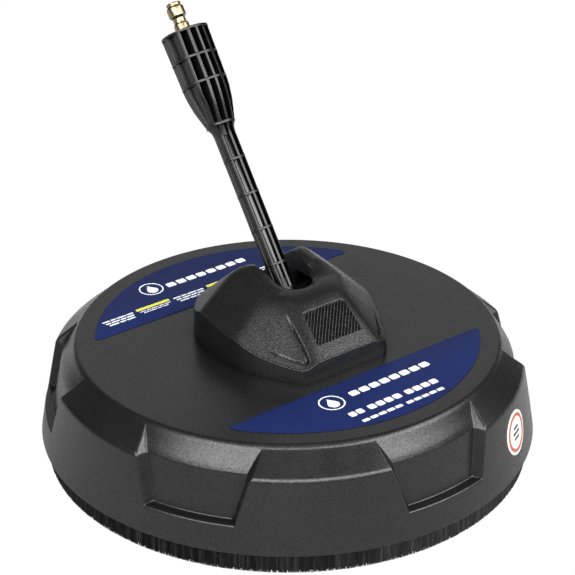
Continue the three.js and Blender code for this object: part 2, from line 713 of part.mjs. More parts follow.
addTo(deck, "swivel_manifold", makeManifold(), brass);
addTo(deck, "manifold_gasket", tube(18.2, 23.5, DECK_Z + 0.08, DECK_Z + 0.58, 24), rubber);
addTo(deck, "manifold_nut", makeManifoldNut(), steel);
for (const [place, z] of Object.entries(BEARING_Z))
  addTo(deck, `${place}_bearing_outer_race`, makeRace(z, OUTER_RACE), steel);
addTo(deck, "bearing_spacer", tube(11.5, BEAR_OUT, ...SPACER_Z), steel);
addTo(deck, "bearing_circlip", makeCirclip(), steel);
addTo(deck, "shaft_seal", turned(SEAL_OUTLINE, 18), rubber);

addTo(deck, "pivot_pin", makePin(), steel);
for (const [name, side] of [["left", -1], ["right", 1]]) {
  addTo(deck, `pivot_bush_${name}`, makePivotBush(side), brass);
  addTo(deck, `pivot_o_ring_${name}`, makePivotORing(side), rubber);
}
addTo(deck, "pin_washer", onPin(tube(4.2, 6.6, 20.6, 21.6)), steel);
addTo(deck, "pin_nut", makePinNut(), steel);

addTo(rotor, "rotor_shaft", makeShaft(), steel);
for (const [place, z] of Object.entries(BEARING_Z))
  addTo(rotor, `${place}_bearing_inner_race`, makeRace(z, INNER_RACE), steel);
addTo(rotor, "inner_spacer", tube(BEAR_IN, 8.2, ...SPACER_Z), steel);
addTo(rotor, "rotor_hub", makeRotorHub(), brass);
addTo(rotor, "lock_washer", tube(5, 9, 26.2, 26.95), steel);
addTo(rotor, "shaft_nut", makeShaftNut(), steel);
for (const [name, turn] of [["left", 180], ["right", 0]]) {
  addTo(rotor, `spray_arm_${name}`, about(makeArm(), turn), steel);
  addTo(rotor, `nozzle_elbow_${name}`, about(makeElbow(), turn), brass);
  addTo(rotor, `spray_nozzle_${name}`, about(makeNozzle(), turn), brass);
}
for (const [place, z] of Object.entries(BEARING_Z))
  addTo(rotor, `${place}_ball_cage`, makeBallCage(z), steel);

addTo(lance, "trunnion_block", makeTrunnion(), brass);
addTo(lance, "lance_tube", tube(1.9, 2.8, 8, TOP - 12, 12), steel);
addTo(lance, "wand_shell", makeWandShell(), blackPlastic);
addTo(lance, "quick_connect_plug", makePlug(), brass);

export default root;
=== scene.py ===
"""Round rotary surface cleaner: a domed deck with a brush skirt, a hub cover and a leaning lance.

The deck is turned about the z axis and stands on its brush at z = 0. The front is -y, and the
lance leans back toward +y from a cross pivot in the slot of the hub cover. Shapes are worked out
in millimetres and turned into metres when their mesh is made.
"""

import math
import random

import bpy
import numpy as np
from mathutils import Matrix, Vector

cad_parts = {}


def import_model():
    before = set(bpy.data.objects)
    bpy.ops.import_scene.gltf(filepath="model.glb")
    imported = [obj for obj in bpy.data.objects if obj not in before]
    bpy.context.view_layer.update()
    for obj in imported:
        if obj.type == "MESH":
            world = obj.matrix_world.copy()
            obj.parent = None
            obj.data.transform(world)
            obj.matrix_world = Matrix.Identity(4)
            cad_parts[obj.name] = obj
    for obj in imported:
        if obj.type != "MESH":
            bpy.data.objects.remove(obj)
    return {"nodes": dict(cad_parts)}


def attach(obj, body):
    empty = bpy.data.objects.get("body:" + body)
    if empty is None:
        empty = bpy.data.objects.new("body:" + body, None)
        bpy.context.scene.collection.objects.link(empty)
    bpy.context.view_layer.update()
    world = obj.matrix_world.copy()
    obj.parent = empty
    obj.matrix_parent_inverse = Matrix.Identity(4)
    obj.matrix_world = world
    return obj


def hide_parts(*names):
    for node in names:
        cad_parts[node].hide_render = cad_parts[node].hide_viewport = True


cad_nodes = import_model()["nodes"]
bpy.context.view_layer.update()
scene = bpy.context.scene
MM = 0.001

# ---------------------------------------------------------------- shared dimensions (mm)
RIM_Z, WALL_R = 14.4, 165.0  # bottom of the drafted outer wall
WALL_TOP_Z, WALL_TOP_R = 62.0, 157.0  # top of the same wall
DECK_Z = 78.45  # flat top of the housing
DECK_UNDER_Z = DECK_Z - 3.0
HUB_R = 17.9  # opening in the middle of the deck
SCREW_SPOTS = ((40, -36), (-40, -36), (40, 30), (-40, 30))  # cover screws, (x, y)
PIVOT_Y, PIVOT_Z = -2.2, 104.33  # axis the lance tilts about
SLOT_R, SLOT_Y = 15.0, PIVOT_Y  # round front end of the slot in the cover


# ---------------------------------------------------------------- mesh helpers
class Shells:
    """Closed shells gathered into one mesh, with a material number for each face."""

    def __init__(self):
        self.verts, self.faces, self.mats = [], [], []
        self.count = 0

    def add(self, shell, mat=0, shift=(0, 0, 0), turn=0.0):
        """Add a (vertices, faces) shell, shifted and then turned about z by some degrees."""
        verts, faces = shell
        x, y, z = (np.asarray(verts, float) + shift).T
        c, s = math.cos(math.radians(turn)), math.sin(math.radians(turn))
        self.verts.append(np.column_stack([x * c - y * s, x * s + y * c, z]))
        self.faces.extend([tuple(i + self.count for i in face) for face in faces])
        self.mats.extend([mat] * len(faces))
        self.count += len(verts)

    def build(self, name, materials, sharp, replaces, rides="deck", matrix=None, weigh=False):
        """Make the object, with edges over `sharp` degrees kept hard, hang it on its body and hide
        the CAD piece it replaces.
        """
        mesh = bpy.data.meshes.new(name)
        mesh.from_pydata((np.concatenate(self.verts) * MM).tolist(), [], self.faces)
        for material in materials:
            mesh.materials.append(material)
        mesh.polygons.foreach_set("material_index", np.asarray(self.mats, dtype=np.int32))
        mesh.polygons.foreach_set("use_smooth", [True] * len(mesh.polygons))
        mesh.update()
        mesh.set_sharp_from_angle(angle=math.radians(sharp))
        ob = bpy.data.objects.new(name, mesh)
        scene.collection.objects.link(ob)
        if matrix is not None:
            mesh.transform(matrix)
        if weigh:
            normals = ob.modifiers.new("normals", "WEIGHTED_NORMAL")
            normals.keep_sharp = True
            normals.weight = 60
        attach(ob, rides)
        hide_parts(replaces)


def line(start, end, count):
    start, end = np.array(start, float), np.array(end, float)
    return [tuple(start + (end - start) * t) for t in np.linspace(0, 1, count)]


def bezier(start, control, end, count):
    """Points of a quadratic curve."""
    a, c, b = map(np.array, (start, control, end))
    curve = [(1 - t) ** 2 * a + 2 * t * (1 - t) * c + t * t * b for t in np.linspace(0, 1, count)]
    return [tuple(p) for p in curve]


def toward(start, end, distance):
    start, end = np.array(start, float), np.array(end, float)
    return tuple(start + (end - start) / np.linalg.norm(end - start) * distance)


def rect(x0, x1, y0, y1):
    return [(x0, y0), (x1, y0), (x1, y1), (x0, y1)]


def rounded(points, radius, steps):
    """Closed 2-D outline with rounded corners. radius is one number or one for each point."""
    points = [np.array(p, float) for p in points]
    count = len(points)
    out = []
    for i, corner in enumerate(points):
        r = radius[i] if isinstance(radius, list) else radius
        if r <= 0:
            out.append(tuple(corner))
            continue
        back, ahead = points[i - 1] - corner, points[(i + 1) % count] - corner
        len_back, len_ahead = np.linalg.norm(back), np.linalg.norm(ahead)
        cut = min(r, 0.48 * len_back, 0.48 * len_ahead)
        start, end = corner + back / len_back * cut, corner + ahead / len_ahead * cut
        out += bezier(start, corner, end, steps + 1)
    return out


def grid_faces(nu, nv, wrap_u=False, wrap_v=False, flip=False):
    """Quads of an nu by nv grid stored row by row: index = u * nv + v."""
    faces = []
    for i in range(nu if wrap_u else nu - 1):
        here, ahead = i * nv, ((i + 1) % nu) * nv
        for j in range(nv if wrap_v else nv - 1):
            k = (j + 1) % nv
            quad = (here + j, ahead + j, ahead + k, here + k)
            faces.append(quad[::-1] if flip else quad)
    return faces


def turned_rings(profile, segs):
    """Vertices of (r, z) points turned about z, and (first index, count) of each ring."""
    verts, rings = [], []
    for r, z in profile:
        count = 1 if r < 1e-6 else segs
        rings.append((len(verts), count))
        if count == 1:
            verts.append((0, 0, z))
            continue
        for i in range(segs):
            a = 2 * math.pi * i / segs
            verts.append((r * math.cos(a), r * math.sin(a), z))
    return np.array(verts, float), rings


def lathe(profile, segs):
    """Turned shell about z from a closed (r, z) profile, counter-clockwise with r to the right."""
    verts, rings = turned_rings(profile, segs)
    faces = []
    for (a, count_a), (b, count_b) in zip(rings, rings[1:] + rings[:1]):
        if count_a == 1 and count_b == 1:
            continue
        for i in range(segs):
            j = (i + 1) % segs
            if count_a == 1:
                faces.append((b + i, b + j, a))
            elif count_b == 1:
                faces.append((a + i, a + j, b))
            else:
                faces.append((a + i, a + j, b + j, b + i))
    return verts, faces


def tube(r_in, r_out, z0, z1, segs):
    return lathe(rect(r_in, r_out, z0, z1), segs)


def loft(sections, heights):
    """Closed shell through counter-clockwise sections of equal point count."""
    n = len(sections[0])
    rings = [np.column_stack([np.array(s), np.full(n, z)]) for s, z in zip(sections, heights)]
    faces = []
    for ring in range(0, (len(rings) - 1) * n, n):
        for i in range(n):
            j = (i + 1) % n
            faces.append((ring + i, ring + j, ring + n + j, ring + n + i))
    faces.append(tuple(range(n))[::-1])
    top = (len(rings) - 1) * n
    faces.append(tuple(range(top, top + n)))
    return np.concatenate(rings), faces


def prism(outline, z0, z1, bevel=0.0):
    """Closed shell from a counter-clockwise outline, with a small bevel round its top edge."""
    outline = np.array(outline, float)
    if bevel == 0:
        return loft([outline, outline], [z0, z1])
    tangent = np.roll(outline, -1, 0) - np.roll(outline, 1, 0)
    tangent /= np.linalg.norm(tangent, axis=1)[:, None] + 1e-12
    inward = np.stack([-tangent[:, 1], tangent[:, 0]], 1)
    return loft(
        [outline, outline, outline + inward * bevel * 0.3, outline + inward * bevel],
        [z0, z1 - bevel, z1 - bevel * 0.3, z1],
    )


# ---------------------------------------------------------------- shader helpers
class Shader:
    """Node tree of a material or world. A node input takes either a value or another socket."""

    def __init__(self, owner):
        owner.use_nodes = True
        self.tree = owner.node_tree
        self.tree.nodes.clear()

    def feed(self, socket, value):
        if isinstance(value, bpy.types.NodeSocket):
            self.tree.links.new(value, socket)
        else:
            socket.default_value = value

    def new(self, kind, inputs=None, **settings):
        node = self.tree.nodes.new(kind)
        for name, value in settings.items():
            setattr(node, name, value)
        for key, value in (inputs or {}).items():
            self.feed(node.inputs[key], value)
        return node

    def math(self, operation, *values):
        return self.new("ShaderNodeMath", dict(enumerate(values)), operation=operation).outputs[0]

    def remap(self, value, low, high, from_low=0.0, from_high=1.0, **settings):
        ranges = {"From Min": from_low, "From Max": from_high, "To Min": low, "To Max": high}
        node = self.new("ShaderNodeMapRange", {**ranges, "Value": value}, **settings)
        return node.outputs["Result"]

    def ramp(self, value, stops):
        """Colour ramp from (position, rgb) stops."""
        node = self.new("ShaderNodeValToRGB")
        elements = node.color_ramp.elements
        while len(elements) < len(stops):
            elements.new(0.5)
        for i, (position, colour) in enumerate(stops):
            elements[i].position = position
            elements[i].color = (*colour, 1.0)
        self.feed(node.inputs["Fac"], value)
        return node.outputs["Color"]


class Material(Shader):
    """Principled material whose textures follow the object's coordinates."""

    def __init__(self, name):
        self.material = bpy.data.materials.new(name)
        super().__init__(self.material)
        self.output = self.new("ShaderNodeOutputMaterial")
        self.principled = self.new("ShaderNodeBsdfPrincipled")
        self.feed(self.output.inputs[0], self.principled.outputs[0])
        self.coords = self.new("ShaderNodeTexCoord")

    def shade(self, inputs):
        for name, value in inputs.items():
            self.feed(self.principled.inputs[name], value)

    def noise(self, scale, detail=3.0, rough=0.5, stretch=None):
        """Noise with `scale` cells to the metre; stretch scales the coordinates along x, y, z."""
        values = {"Scale": scale, "Detail": detail, "Roughness": rough}
        node = self.new("ShaderNodeTexNoise", values)
        source = self.coords.outputs["Object"]
        if stretch is not None:
            mapping = self.new("ShaderNodeMapping", {"Scale": stretch, "Vector": source})
            source = mapping.outputs["Vector"]
        self.feed(node.inputs["Vector"], source)
        return node.outputs["Fac"]

    def bump(self, height, depth_mm):
        values = {"Distance": depth_mm * MM, "Strength": 1.0, "Height": height}
        return self.new("ShaderNodeBump", values).outputs["Normal"]


def srgb(*levels):
    """sRGB 0-255 levels to linear values."""
    shares = [level / 255 for level in levels]
    return tuple(v / 12.92 if v <= 0.04045 else ((v + 0.055) / 1.055) ** 2.4 for v in shares)


def scaled(colour, factor):
    return tuple(min(1.0, c * factor) for c in colour)


# ---------------------------------------------------------------- materials
SPECULAR = "Specular IOR Level"


def moulded(name, base, rough, grain, depth, spec, recess=0.0, speckle=0.0):
    """Moulded plastic: slow tone drift, uneven gloss, pebbled grain and painted shade in recesses.

    grain is the relative coarseness of the pebbling and depth its relief in mm. recess is how far
    painted shade darkens the colour and the gloss in corners, and speckle how far the specular level
    varies from pebble to pebble.
    """
    m = Material(name)
    drift = m.noise(14.0, detail=4.0, rough=0.55)
    colour = m.ramp(drift, [(0.3, scaled(base, 0.82)), (0.55, base), (0.75, scaled(base, 1.18))])
    m.shade({SPECULAR: spec})
    if recess:
        # painted shade: ambient occlusion darkens the colour and the specular level in corners and
        # recesses
        occlusion = m.new("ShaderNodeAmbientOcclusion", {"Distance": 9 * MM}, samples=6)
        shade = m.remap(occlusion.outputs["AO"], 1.0 - recess, 1.0, 0.22, 0.93)
        painted_shade = m.new("ShaderNodeVectorMath", {0: colour, 1: shade}, operation="MULTIPLY")
        colour = painted_shade.outputs[0]
        pebble = m.noise(1150.0 / grain, detail=2.0, rough=0.6)
        pebble = m.remap(pebble, spec * (1 - speckle), spec * (1 + speckle), 0.3, 0.7)
        m.shade({SPECULAR: m.math("MULTIPLY", shade, pebble)})
    m.shade({"Base Color": colour})
    broad = m.noise(55.0, detail=3.0, rough=0.6)
    fine = m.noise(700.0, detail=2.0, rough=0.5)
    broad = m.remap(broad, rough - 0.025, rough + 0.025, 0.3, 0.7)
    fine = m.remap(fine, -0.03, 0.03, 0.3, 0.7)
    m.shade({"Roughness": m.math("ADD", broad, fine)})
    small = m.noise(1000.0 / grain, detail=2.0, rough=0.55)
    large = m.noise(380.0 / grain, detail=2.0, rough=0.5)
    height = m.math("ADD", small, m.math("MULTIPLY", large, 0.6))
    m.shade({"Normal": m.bump(height, depth * 2.2)})
    return m.material


def metal(name, base, rough, brushed=None):
    """Metal with slight tarnish; brushed stretches the surface marks along x, y, z."""
    m = Material(name)
    drift = m.noise(160.0, detail=4.0, rough=0.6)
    stops = [(0.3, scaled(base, 0.8)), (0.55, base), (0.8, scaled(base, 1.08))]
    m.shade({"Base Color": m.ramp(drift, stops), "Metallic": 1.0})
    gloss = m.noise(420.0, detail=3.0, rough=0.6, stretch=brushed)
    m.shade({"Roughness": m.remap(gloss, rough * 0.75, rough * 1.3, 0.3, 0.7)})
    marks = m.noise(1500.0, detail=2.0, rough=0.5, stretch=brushed)
    m.shade({"Normal": m.bump(marks, depth_mm=0.004)})
    return m.material


def bristle():
    """Black filaments, streaked along z."""
    m = Material("bristle")
    streaks = m.noise(420.0, detail=3.0, rough=0.7, stretch=(1.0, 1.0, 0.05))
    stops = [(0.38, (0.003,) * 3), (0.5, (0.009,) * 3), (0.64, (0.034,) * 3)]
    m.shade({"Base Color": m.ramp(streaks, stops)})
    m.shade({"Roughness": m.remap(m.noise(900.0), 0.45, 0.65), SPECULAR: 0.35})
    strands = m.noise(2600.0, detail=2.0, rough=0.6, stretch=(1, 1, 0.08))
    m.shade({"Normal": m.bump(strands, depth_mm=0.02)})
    return m.material


def label_film():
    """Blue film that lies a little wavy."""
    m = Material("label_blue")
    wave = m.noise(18.0, detail=3.0, rough=0.5)
    blue = (0.0092, 0.0176, 0.084)
    drift = m.noise(30.0, detail=4.0, rough=0.6)
    m.shade({"Base Color": m.ramp(drift, [(0.3, scaled(blue, 0.9)), (0.7, scaled(blue, 1.06))])})
    m.shade({"Roughness": m.remap(m.noise(260.0), 0.42, 0.52), SPECULAR: 0.1})
    m.shade({"Normal": m.bump(wave, depth_mm=0.12)})
    return m.material


def print_ink(name, *levels):
    m = Material(name)
    colour = srgb(*levels)
    patches = m.noise(900.0, detail=3.0, rough=0.6)
    m.shade({"Base Color": m.ramp(patches, [(0.25, scaled(colour, 0.86)), (0.6, colour)])})
    m.shade({"Roughness": m.remap(m.noise(300.0), 0.4, 0.55), SPECULAR: 0.3})
    return m.material


BLACK = (0.0075, 0.0075, 0.0078)
# recess sets the strength of each plastic's painted shade in corners and recesses
housing_mat = moulded("housing_plastic", BLACK, rough=0.29, grain=1.3, depth=0.03, spec=0.5,
                      recess=0.48, speckle=0.3)
cover_mat = moulded("cover_plastic", BLACK, rough=0.31, grain=1.25, depth=0.035, spec=0.5,
                    recess=0.55, speckle=0.62)
lance_mat = moulded("lance_plastic", (0.007,) * 3, rough=0.30, grain=0.8, depth=0.015, spec=0.45,
                    recess=0.7)
channel_mat = moulded("channel_plastic", (0.010,) * 3, rough=0.45, grain=0.9, depth=0.03, spec=0.4)
core_mat = moulded("gloss_tube", (0.005,) * 3, rough=0.2, grain=1.2, depth=0.004, spec=0.6)
rubber_mat = moulded("rubber", srgb(26, 26, 26), rough=0.72, grain=0.6, depth=0.02, spec=0.3)
steel_mat = metal("steel", (0.50, 0.51, 0.53), rough=0.30, brushed=(1.0, 1.0, 6.0))
zinc_mat = metal("zinc_screw", (0.62, 0.62, 0.60), rough=0.34)
brass_mat = metal("brass", (0.34, 0.275, 0.165), rough=0.27)
dark_brass_mat = metal("turned_brass", (0.70, 0.50, 0.24), rough=0.32)
black_metal_mat = metal("black_oxide", (0.035, 0.035, 0.037), rough=0.42)
bristle_mat = bristle()
blue_mat = label_film()
white_ink = print_ink("print_white", 236, 238, 242)
yellow_ink = print_ink("print_yellow", 226, 222, 84)
orange_ink = print_ink("print_orange", 178, 92, 70)
grey_ink = print_ink("print_grey", 70, 70, 74)
paper_mat = print_ink("sticker_paper", 240, 238, 236)

# ---------------------------------------------------------------- housing
# Six recesses alternate with six raised blocks. Half a recess and half a block make a half
# sector of 30 degrees, measured from the recess's middle line.
PANEL_R, PANEL_Z = 150.0, 62.5  # top edge of the flat face in a recess
PANEL_FOOT_R, LEDGE_Z = 155.8, 33.0  # foot of that face, on the sill
BAND_R, BAND_Z = 141.7, 73.9  # end of the deck's rounded edge
FILLET = 1.25  # along both edges of a recess's side face
BOSS_Z0, BOSS_Z1 = 72.4, 75.6
# column counts of a half sector: recess, each fillet, side face, block
PANEL_COLS, FILLET_COLS, SIDE_COLS, BLOCK_COLS = 13, 5, 4, 12
MIDDLE_STEPS = 2 * (FILLET_COLS - 1) + SIDE_COLS - 1

DECK_EDGE = [(138.5, 78.43), (139.15, 78.2), (139.8, 77.8), (140.45, 77.22), (141.0, 76.62),
             (141.4, 76.1)]  # (r, z)
RECESS_SHOULDER = [(141.8, 75.52), (142.9, 73.78), (144.3, 71.62), (145.6, 69.68),
                   (146.8, 67.92), (147.9, 66.3), (148.9, 64.75)]  # (r, z)

# the inside, (r, z) rows: shared, then beside a recess or a block, then shared again
INNER_TOP = [(HUB_R, DECK_UNDER_Z), (60.0, DECK_UNDER_Z), (110, DECK_UNDER_Z),
             (137.2, DECK_UNDER_Z), (138.7, 73.2)]
INNER_RECESS = [(141.6, 70.0), (145.2, 66.0), (147.0, 61.6), (149.6, 48.0), (152.8, 31.4),
                (153.2, 30.3)]
INNER_BLOCK = [(145.0, 67.0), (151.0, 63.2), (153.9, 60.6), (156.2, 48.0), (159.2, 31.4),
               (159.4, 30.3)]
INNER_RIM = [(159.6, 30.2), (160.6, 24.5), (WALL_R - 2.5, RIM_Z)]


def recess_half(r, z):
    """Half width of a recess, across its middle line, where its drafted side passes (r, z)."""
    if z >= PANEL_Z:
        return -115.97 + 0.657 * r + 0.8115 * z
    return -82.0 + 0.62 * r + 0.3595 * z


def wall_r(z):
    """Radius of the drafted outer wall."""
    return WALL_TOP_R + (WALL_R - WALL_TOP_R) * (WALL_TOP_Z - z) / (WALL_TOP_Z - RIM_Z)


def wall_rows(z_start, z_end, count):
    """Points down the wall, without the first."""
    return [(wall_r(z), z) for z in np.linspace(z_start, z_end, count)[1:]]


def outer_rows():
    """Matching (r, z) rows from the hub opening to the rim: down a recess and down a block."""
    deck = line((HUB_R, DECK_Z), (137.9, DECK_Z), 8) + DECK_EDGE
    recess, block = list(deck), list(deck)
    # shoulders
    recess_corner, block_corner = (PANEL_R + 0.1, PANEL_Z), (156.85, 63.1)
    recess += RECESS_SHOULDER + [toward(recess_corner, RECESS_SHOULDER[-1], 0.6)]
    block_start = (141.8, 75.62)
    block += line(block_start, toward(block_corner, block_start, 2.3), len(RECESS_SHOULDER) + 1)
    # outer top edges
    foot = (PANEL_FOOT_R, LEDGE_Z)
    recess += bezier(recess[-1], recess_corner, toward(recess_corner, foot, 0.7), 8)[1:]
    block_turned = toward(block_corner, (wall_r(40), 40.0), 2.6)
    block += bezier(block[-1], block_corner, block_turned, 8)[1:]
    # faces
    recess += line(recess[-1], toward(foot, recess[-1], 1.6), 10)[1:]
    face_end_z = 35.4
    block += wall_rows(block[-1][1], face_end_z, 10)
    # foot of the face, sill, and the sill's outer edge
    sill = (wall_r(LEDGE_Z), LEDGE_Z)
    below_z = LEDGE_Z - 2.0
    sill_start, sill_end = toward(foot, sill, 1.6), toward(sill, foot, 2.0)
    recess += bezier(recess[-1], foot, sill_start, 6)[1:]
    recess += line(sill_start, sill_end, 4)[1:]
    recess += bezier(sill_end, sill, (wall_r(below_z), below_z), 7)[1:]
    block += wall_rows(face_end_z, below_z, 5 + 3 + 6 + 1)
    # lower wall and rim
    tail = wall_rows(below_z, 15.4, 7)
    tail += [(wall_r(14.9), 14.9), (WALL_R - 0.15, 14.55), (WALL_R - 0.5, RIM_Z)]
    return recess + tail, block + tail


def place(point, angle):
    """An (r, z) point turned about the z axis."""
    return np.array([point[0] * math.cos(angle), point[0] * math.sin(angle), point[1]])


def sector_row(recess, recess_end, middle, block, block_start):
    """Row of a half sector: across the recess, the given middle points, across the block."""
    row = [place(recess, a) for a in np.linspace(0, recess_end, PANEL_COLS)]
    row += middle
    row += [place(block, a) for a in np.linspace(block_start, math.radians(30), BLOCK_COLS)][1:]
    return row


def outer_half_sector():
    band_half = recess_half(BAND_R, BAND_Z)
    sill_half = recess_half(wall_r(LEDGE_Z), LEDGE_Z)
    rows = []
    for recess, block in zip(*outer_rows()):
        if recess[1] < LEDGE_Z - 0.01 and recess == block:
            halves = (sill_half, sill_half)
        elif recess[0] < BAND_R + 0.01 and recess[1] > BAND_Z - 0.05:
            halves = (band_half * recess[0] / BAND_R, band_half * block[0] / BAND_R)
        else:
            halves = (recess_half(*recess), recess_half(*block))
        recess_angle = math.asin(halves[0] / recess[0])
        block_angle = math.asin(halves[1] / block[0])
        low, high = place(recess, recess_angle), place(block, block_angle)
        gap = float(np.linalg.norm(high - low))
        stepped = gap > 1e-4
        fillet = min(FILLET, 0.42 * gap) if stepped else 0.0
        reach = max(fillet, 0.15)
        recess_end = recess_angle - reach / recess[0]
        block_start = block_angle + reach / block[0]
        if stepped:
            up = (high - low) / gap * fillet
            middle = bezier(place(recess, recess_end), low, low + up, FILLET_COLS)[1:]
            middle += line(low + up, high - up, SIDE_COLS)[1:]
            middle += bezier(high - up, high, place(block, block_start), FILLET_COLS)[1:]
        else:
            angles = np.linspace(recess_end, block_start, MIDDLE_STEPS + 1)[1:]
            middle = [place(recess, a) for a in angles]
        rows.append(sector_row(recess, recess_end, middle, block, block_start))
    return np.array(rows, float)  # rows x columns x 3


def inner_half_sector():
    """The inside: same columns, with the recess sides one wall thickness further round."""

    def side_angle(point, outward):
        r, z = point
        return math.asin(min(0.3, (recess_half(r + outward, min(z, 62.4)) + 2.4) / r))

    rows = []
    for recess, block in zip(INNER_TOP + INNER_RECESS + INNER_RIM,
                             INNER_TOP + INNER_BLOCK + INNER_RIM):
        if recess == block:
            r, z = recess
            start = math.radians(11.4 if z <= 60 else 15.6 if r < 139 else 14.2)
            end = start + 0.02
            middle = [place(recess, start + 0.02 * t)
                      for t in np.linspace(0, 1, MIDDLE_STEPS + 1)[1:]]
        else:
            start = side_angle(recess, 2.8)
            end = max(side_angle(block, 2.2), start + 0.002)
            middle = line(place(recess, start), place(block, end), MIDDLE_STEPS + 1)[1:]
        rows.append(sector_row(recess, start, middle, block, end))
    return np.array(rows, float)


def full_ring(half):
    """Six sectors round the axis from one half sector; returns columns x rows x 3."""
    mirror = half * (1, -1, 1)
    sector = np.concatenate([mirror[:, ::-1][:, 1:], half[:, 1:]], axis=1)
    x, y, z = np.moveaxis(sector, -1, 0)
    out = []
    for k in range(6):
        a = math.radians(-90 + 60 * k)
        c, s = math.cos(a), math.sin(a)
        out.append(np.stack([x * c - y * s, x * s + y * c, z], -1))
    return np.concatenate(out, axis=1).transpose(1, 0, 2)


def build_housing():
    outer, inner = full_ring(outer_half_sector()), full_ring(inner_half_sector())
    skin = np.concatenate([outer, inner[:, ::-1]], axis=1)  # down the outside, up the inside
    shells = Shells()
    faces = grid_faces(*skin.shape[:2], wrap_u=True, wrap_v=True, flip=True)
    shells.add((skin.reshape(-1, 3), faces))
    # stiffening collar and screw bosses under the deck
    shells.add(tube(17.95, 34, BOSS_Z0, BOSS_Z1, 64))
    boss = [(2.4, BOSS_Z0), (6.2, BOSS_Z0), (6.6, 72.9), (6.6, BOSS_Z1), (2.4, BOSS_Z1)]
    for x, y in SCREW_SPOTS:
        shells.add(lathe(boss, 28), shift=(x, y, 0))
    # lugs that take the screws of the brush channel
    lug = rounded(rect(145.6, 160.6, -5.5, 5.5), [3.5, 0, 0, 3.5], 5)
    for angle in range(0, 360, 60):
        shells.add(prism(lug, 25.4, 34.0), turn=angle)
    shells.build("housing_shell", [housing_mat], sharp=52, replaces="deck_housing",
                 weigh=True)


build_housing()

# ---------------------------------------------------------------- brush
STRIP_PROFILE = [(157.2, 1.6), (160.0, 1.2), (159.6, 14.2), (158.1, 15.0), (158.1, 22.2),
                 (154.2, 22.2), (154.2, 14.2), (156.6, 13.6)]  # (r, z)
CHANNEL_PROFILE = [(152.9, 15.2), (153.9, 15.2), (153.9, 22.6), (158.4, 22.6), (158.4, 15.2),
                   (159.1, 15.2), (159.1, 24.8), (146.8, 24.8), (146.8, 22.6), (152.9, 22.6)]
FILAMENT_ROWS = [(156.4, 700), (157.6, 700), (159.3, 1300), (160.05, 1900), (160.4, 2100),
                 (160.62, 2100)]  # (radius, count)
FILAMENT_TOP_Z, FILAMENT_MAX_R = 14.6, 160.85
CLUMPS = 64  # stretches of a row whose filaments lean alike


def build_filaments():
    rng = random.Random(7)
    shells = Shells()
    # backing strip that holds the filaments, seated in the channel
    shells.add(lathe(STRIP_PROFILE, 180))
    # a filament is three triangular sections, from its top down
    triangle = [(math.cos(a), math.sin(a)) for a in (0.3, 2.394, 4.489)]
    faces = [(0, 1, 2), (8, 7, 6)]
    for k in (0, 3):
        for j in range(3):
            m = (j + 1) % 3
            faces.append((k + j, k + 3 + j, k + 3 + m, k + m))
    for radius, count in FILAMENT_ROWS:
        phase = rng.random()
        clumps = [rng.uniform(-1, 1) for _ in range(CLUMPS)]
        for i in range(count):
            angle = 2 * math.pi * (i + phase + rng.uniform(-0.35, 0.35)) / count
            clump = clumps[int(angle / (2 * math.pi) * CLUMPS) % CLUMPS]
            r_top = radius - 0.25 + rng.uniform(-0.2, 0.2)
            r_tip = min(FILAMENT_MAX_R, radius + 0.25 + rng.uniform(-0.3, 0.45))
            lean = rng.gauss(0, 0.004) + 0.0015 * clump
            z_tip = abs(rng.gauss(0, 0.28)) + (0.5 if rng.random() < 0.04 else 0)
            width = rng.uniform(0.2, 0.34)
            r_mid = (r_top + r_tip) / 2 + rng.uniform(-0.1, 0.1)
            verts = []
            for a, r, z, size in (
                (angle, r_top, FILAMENT_TOP_Z, width),
                (angle + lean * 0.45, r_mid, FILAMENT_TOP_Z * 0.5, width),
                (angle + lean, r_tip, z_tip, width * 0.7),
            ):
                c, s = math.cos(a), math.sin(a)
                for x, y in triangle:
                    verts.append((r * c + (x * c - y * s) * size, r * s + (x * s + y * c) * size, z))
            shells.add((verts, faces))
    shells.build("brush_filaments", [bristle_mat], sharp=50, replaces="brush_skirt")


def build_channel():
    """Ring the filament strip sits in, with an eyelet at each screw."""
    shells = Shells()
    shells.add(lathe(rounded(CHANNEL_PROFILE, 0.3, 2), 180))
    eyelet = lathe([(2.6, 22.2), (4.2, 22.2), (4.6, 22.7), (2.6, 22.7)], 24)
    for angle in range(0, 360, 60):
        shells.add(eyelet, shift=(150.1, 0, 0), turn=angle)
    shells.build("brush_channel_ring", [channel_mat], sharp=40, replaces="brush_channel")


build_filaments()
build_channel()

# ---------------------------------------------------------------- hub cover
# foot of the cover, (x, y) from the front round the right side to the rear
RIM_HALF = [
    (0, -63.2), (14, -63.2), (24, -63.1), (29.5, -62.9), (33.2, -61.6), (36.2, -58.6),
    (39.6, -53.6), (43.9, -46.3), (48.2, -38.4), (52.2, -29.6), (55.2, -20), (56.6, -9),
    (56.6, 4), (55.8, 17), (53.8, 28), (49.6, 37.5), (42.5, 45), (33, 49.8), (20, 52.2), (0, 52.5),
]
COVER_CENTRE = np.array([0, -5.75])  # the side wall draws in toward this point
COVER_COLS = 640  # columns round the cover
REAR_Y = float(np.interp(SLOT_R, [0, 22, 37], [52.5, 51.8, 48]))  # open rear end of the slot
SLOT_FLOOR = 16.0  # trough floor above the deck
FOOT_GAP = 0.06  # clearance under the cover
ROOF_DROP = 3.6  # from the outer surface to the inner one
WALL_DRAW = 2.6  # thickness of the side wall
LIP_R = 1.1  # rounding along the slot
LIP_STEPS = (0, 0.06, 0.17, 0.33, 0.54, 0.8, 1.15)  # first rows, distance from the slot
TOP_ROWS = 86  # further rows to the top edge
# rounding over the top edge: (share of the way out, drop)
EDGE_ROUNDING = ((0.45, 0.12), (0.8, 0.42), (0.98, 0.9))
# trapezoid of slanting grooves on the front face
GRIP_Y0, GRIP_Y1 = -55.4, -36.6
GRIP_X0, GRIP_X1 = 19.1, 16.8  # half widths at those two ends
GRIP_SLANT = (0.723, -0.69)  # direction across the grooves
GRIP_PITCH = 1.93
